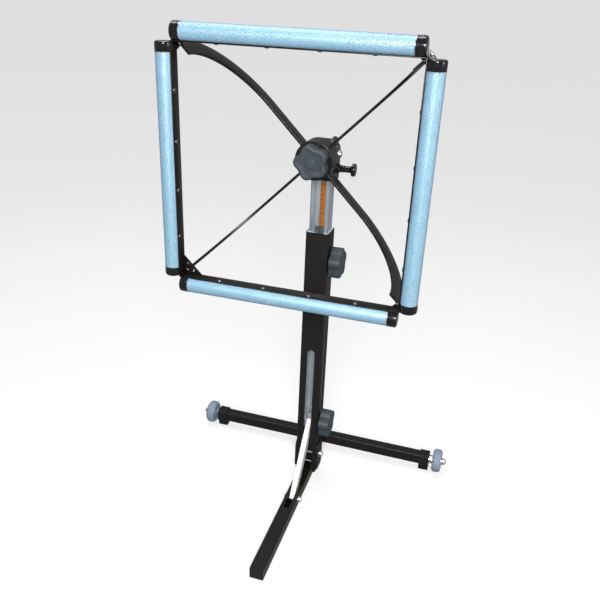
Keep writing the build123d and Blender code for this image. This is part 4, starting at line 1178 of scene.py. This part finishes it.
class STAND_OT_add_brace(bpy.types.Operator):
    """Add the white brace strut"""

    bl_idname = "stand.add_brace"
    bl_label = "Add Brace"

    def execute(self, context):
        pivot = Vector((0, 0, middle_height("strut_pivot_bolt")))
        pin_low, pin_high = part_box("leg_pin_nut")
        pin = Vector((0, (pin_low.y + pin_high.y) / 2, (pin_low.z + pin_high.z) / 2))
        low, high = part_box("brace_strut")
        length = (pin - pivot).length
        eye, front, back, arch, end = 13 * MM, 10 * MM, 8 * MM, 20 * MM, 5 * MM
        half, drop = (length + end) / 2, arch - (eye + back) / 2
        bow = (half**2 + drop**2) / (2 * drop)
        outline = list(arc((0, 0), eye, 90, 270, 16))
        outline += [(length + 2 * MM, -front), (length + end, back)]
        steps = 20
        for step in range(1, steps):
            along = length + end - (length + end) * step / steps
            ends = eye + (back - eye) * along / (length + end)
            outline.append((along, ends + sqrt(bow**2 - (along - half) ** 2) - (bow - drop)))
        part = plate(outline, high.x - low.x, context.scene.base_settings.brace_edge)
        along = (pin - pivot).normalized()
        turn = Matrix((along, Vector((1, 0, 0)).cross(along), Vector((1, 0, 0)))).transposed()
        bm = bmesh.new()
        join(bm, part, Matrix.Translation(pivot) @ turn.to_4x4())
        white = [finish("white_brace")]
        make_piece(bm, "brace_bar", "brace", white, ("brace_strut",))
        self.add_bridge((high.x - low.x) / 2 + 1.2 * MM)
        return {"FINISHED"}

    def add_bridge(self, half_width):
        """The bridge that joins the slider's two cheeks in front of the brace's eye."""
        low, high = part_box("strut_slider")
        bm = bmesh.new()
        base, top = high.z - 6.5 * MM, high.z + 4.5 * MM
        join(bm, block((-half_width, low.y, base), (half_width, low.y + 3 * MM, top), 0.4 * MM))
        steel = [finish("galvanised_slider")]
        make_piece(bm, "slider_bridge", "brace_slider", steel)


def wheel_profile(radius, width, shoulder):
    """A wheel's section as a closed loop: its bore, its hubs, its faces, its shoulders and its tread."""
    bore, hub, web = 4.1 * MM, 9.5 * MM, 19.5 * MM
    recess = 2.2 * MM
    face = radius - shoulder
    half = [
        (bore, 0.5 * MM),
        (hub - 0.6 * MM, 0.5 * MM),
        (hub, 1.1 * MM),
        (hub + 0.8 * MM, recess),
        (web, recess),
        (web + 1.6 * MM, 0.3 * MM),
        (face - 0.6 * MM, 0.0),
        (face, 0.3 * MM),
        (radius - 0.7 * MM, shoulder),
        (radius, shoulder + 0.9 * MM),
    ]
    tread = []
    groove_width, groove_depth = 1.0 * MM, 0.7 * MM
    for groove in (-1, 0, 1):
        middle = width / 2 + groove * 3.6 * MM
        tread += [
            (radius, middle - groove_width / 2),
            (radius - groove_depth, middle - groove_width / 4),
            (radius - groove_depth, middle + groove_width / 4),
            (radius, middle + groove_width / 2),
        ]
    return half + tread + [(r, width - h) for r, h in reversed(half)]


class STAND_OT_add_wheels(bpy.types.Operator):
    """Add the two wheels"""

    bl_idname = "stand.add_wheels"
    bl_label = "Add Wheels"

    def execute(self, context):
        shoulder = context.scene.base_settings.wheel_shoulder
        for side, name in ((-1, "left"), (1, "right")):
            low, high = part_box(f"wheel_{name}")
            middle = (low + high) / 2
            inner = high.x if side < 0 else low.x
            profile = wheel_profile((high.z - low.z) / 2, high.x - low.x, shoulder)
            bm = bmesh.new()
            place = stand_on((inner, middle.y, middle.z), (side, 0, 0))
            join(bm, turned(profile, 72, closed=True), place)
            rubber = [finish("wheel_rubber")]
            piece = f"{name}_tyre"
            make_piece(bm, piece, f"{name}_wheel", rubber, (f"wheel_{name}",), 40.0)
        return {"FINISHED"}


class STAND_OT_finish_metalwork(bpy.types.Operator):
    """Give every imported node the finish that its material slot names"""

    bl_idname = "stand.finish_metalwork"
    bl_label = "Finish Metalwork"

    def execute(self, context):
        FINISHES.update(make_finishes())
        slots = {m["slot"]: m for m in frame["record"]["materials"]}
        missing = sorted(set(slots) - set(FINISHES))
        if missing:
            raise RuntimeError(f"these material slots have no finish: {missing}")
        for name, node in NODES.items():
            old = node.material_slots[0].material.name if node.material_slots else ""
            slot = next((s for s in slots if old == s or old.startswith(s)), None)
            if slot is None:
                raise RuntimeError(f"the node {name} has no known material slot: {old!r}")
            for place in node.material_slots:
                place.material = FINISHES[slot]
        return {"FINISHED"}


# ================================ Stage ================================


def add_softbox(name, place, target, size, power, colour):
    """A square soft light that faces a point."""
    light = bpy.data.lights.new(name, "AREA")
    light.shape = "SQUARE"
    light.size = size
    light.energy = power
    light.color = colour
    lamp = bpy.data.objects.new(name, light)
    lamp.location = place
    lamp.rotation_euler = (Vector(target) - Vector(place)).to_track_quat("-Z", "Y").to_euler()
    bpy.context.scene.collection.objects.link(lamp)


class STAND_OT_set_stage(bpy.types.Operator):
    """Set the floor, the lights and the camera"""

    bl_idname = "stand.set_stage"
    bl_label = "Set Stage"

    def execute(self, context):
        settings = context.scene.stage_settings
        scene = context.scene
        scene.view_settings.view_transform = "Standard"

        flat, bend, rise = 2.5, 6.0, 14.0
        section = [(0.0, 0.0)] + list(arc((flat, bend), bend, -90, 0, 24)) + [(flat + bend, rise)]
        bm = turned(section, 96)
        bmesh.ops.remove_doubles(bm, verts=bm.verts, dist=MERGE_DISTANCE)
        bmesh.ops.recalc_face_normals(bm, faces=bm.faces)
        bmesh.ops.reverse_faces(bm, faces=bm.faces)
        mesh = bpy.data.meshes.new("floor")
        bm.to_mesh(mesh)
        bm.free()
        mesh.materials.append(pale_floor())
        mesh.shade_smooth()
        floor = bpy.data.objects.new("floor", mesh)
        floor.visible_diffuse = False
        floor.visible_glossy = False
        scene.collection.objects.link(floor)

        world = bpy.data.worlds.new("studio")
        world.use_nodes = True
        background = world.node_tree.nodes["Background"]
        background.inputs["Color"].default_value = (1.0, 1.0, 1.0, 1.0)
        background.inputs["Strength"].default_value = settings.sky_strength
        scene.world = world

        middle = (0.0, -0.1, 0.6)
        power = settings.key_power
        add_softbox("front_softbox", (0.6, -2.4, 1.8), middle, 0.9, power, (1.0, 1.0, 1.0))
        add_softbox("right_softbox", (2.6, -0.7, 1.4), middle, 1.0, power * 0.2, (1.0, 0.86, 0.70))
        add_softbox("top_softbox", (-0.6, 0.4, 3.0), middle, 1.6, power * 0.35, (0.95, 0.97, 1.0))

        camera = bpy.data.cameras.new("camera")
        camera.lens = settings.lens
        camera.sensor_width = 36.0
        viewer = bpy.data.objects.new("camera", camera)
        place, target = Vector(settings.camera_place), Vector(settings.camera_target)
        facing = (target - place).to_track_quat("-Z", "Y").to_matrix()
        roll = Matrix.Rotation(settings.camera_roll, 3, "Z")
        viewer.matrix_world = Matrix.Translation(place) @ (facing @ roll).to_4x4()
        scene.collection.objects.link(viewer)
        scene.camera = viewer
        return {"FINISHED"}


# ================================ Add-on ================================


OPERATORS = (
    STAND_OT_finish_metalwork,
    STAND_OT_add_sleeves,
    STAND_OT_add_end_caps,
    STAND_OT_add_frame_bars,
    STAND_OT_add_screws,
    STAND_OT_add_nuts,
    STAND_OT_add_star_knobs,
    STAND_OT_add_plunger,
    STAND_OT_add_scale,
    STAND_OT_add_foot_lip,
    STAND_OT_add_brace,
    STAND_OT_add_wheels,
    STAND_OT_set_stage,
)
SETTINGS = {
    "sleeve_settings": SleeveSettings,
    "frame_settings": FrameSettings,
    "knob_settings": KnobSettings,
    "base_settings": BaseSettings,
    "stage_settings": StageSettings,
}


class STAND_PT_panel(bpy.types.Panel):
    """The stand's operators and settings"""

    bl_idname = "STAND_PT_panel"
    bl_label = "Work Frame Stand"
    bl_space_type = "VIEW_3D"
    bl_region_type = "UI"
    bl_category = "Work Frame"

    def draw(self, context):
        for operator in OPERATORS:
            self.layout.operator(operator.bl_idname)
        for name, group in SETTINGS.items():
            box = self.layout.box()
            box.label(text=group.__name__)
            for setting in group.__annotations__:
                box.prop(getattr(context.scene, name), setting)


def register():
    for group in SETTINGS.values():
        bpy.utils.register_class(group)
    for operator in OPERATORS:
        bpy.utils.register_class(operator)
    bpy.utils.register_class(STAND_PT_panel)
    for name, group in SETTINGS.items():
        setattr(bpy.types.Scene, name, PointerProperty(type=group))


def unregister():
    for name in SETTINGS:
        delattr(bpy.types.Scene, name)
    bpy.utils.unregister_class(STAND_PT_panel)
    for operator in reversed(OPERATORS):
        bpy.utils.unregister_class(operator)
    for group in reversed(SETTINGS.values()):
        bpy.utils.unregister_class(group)


def main():
    """Builds the whole stand."""
    register()
    for operator in OPERATORS:
        area, name = operator.bl_idname.split(".")
        getattr(getattr(bpy.ops, area), name)()


if __name__ == "__main__":
    main()
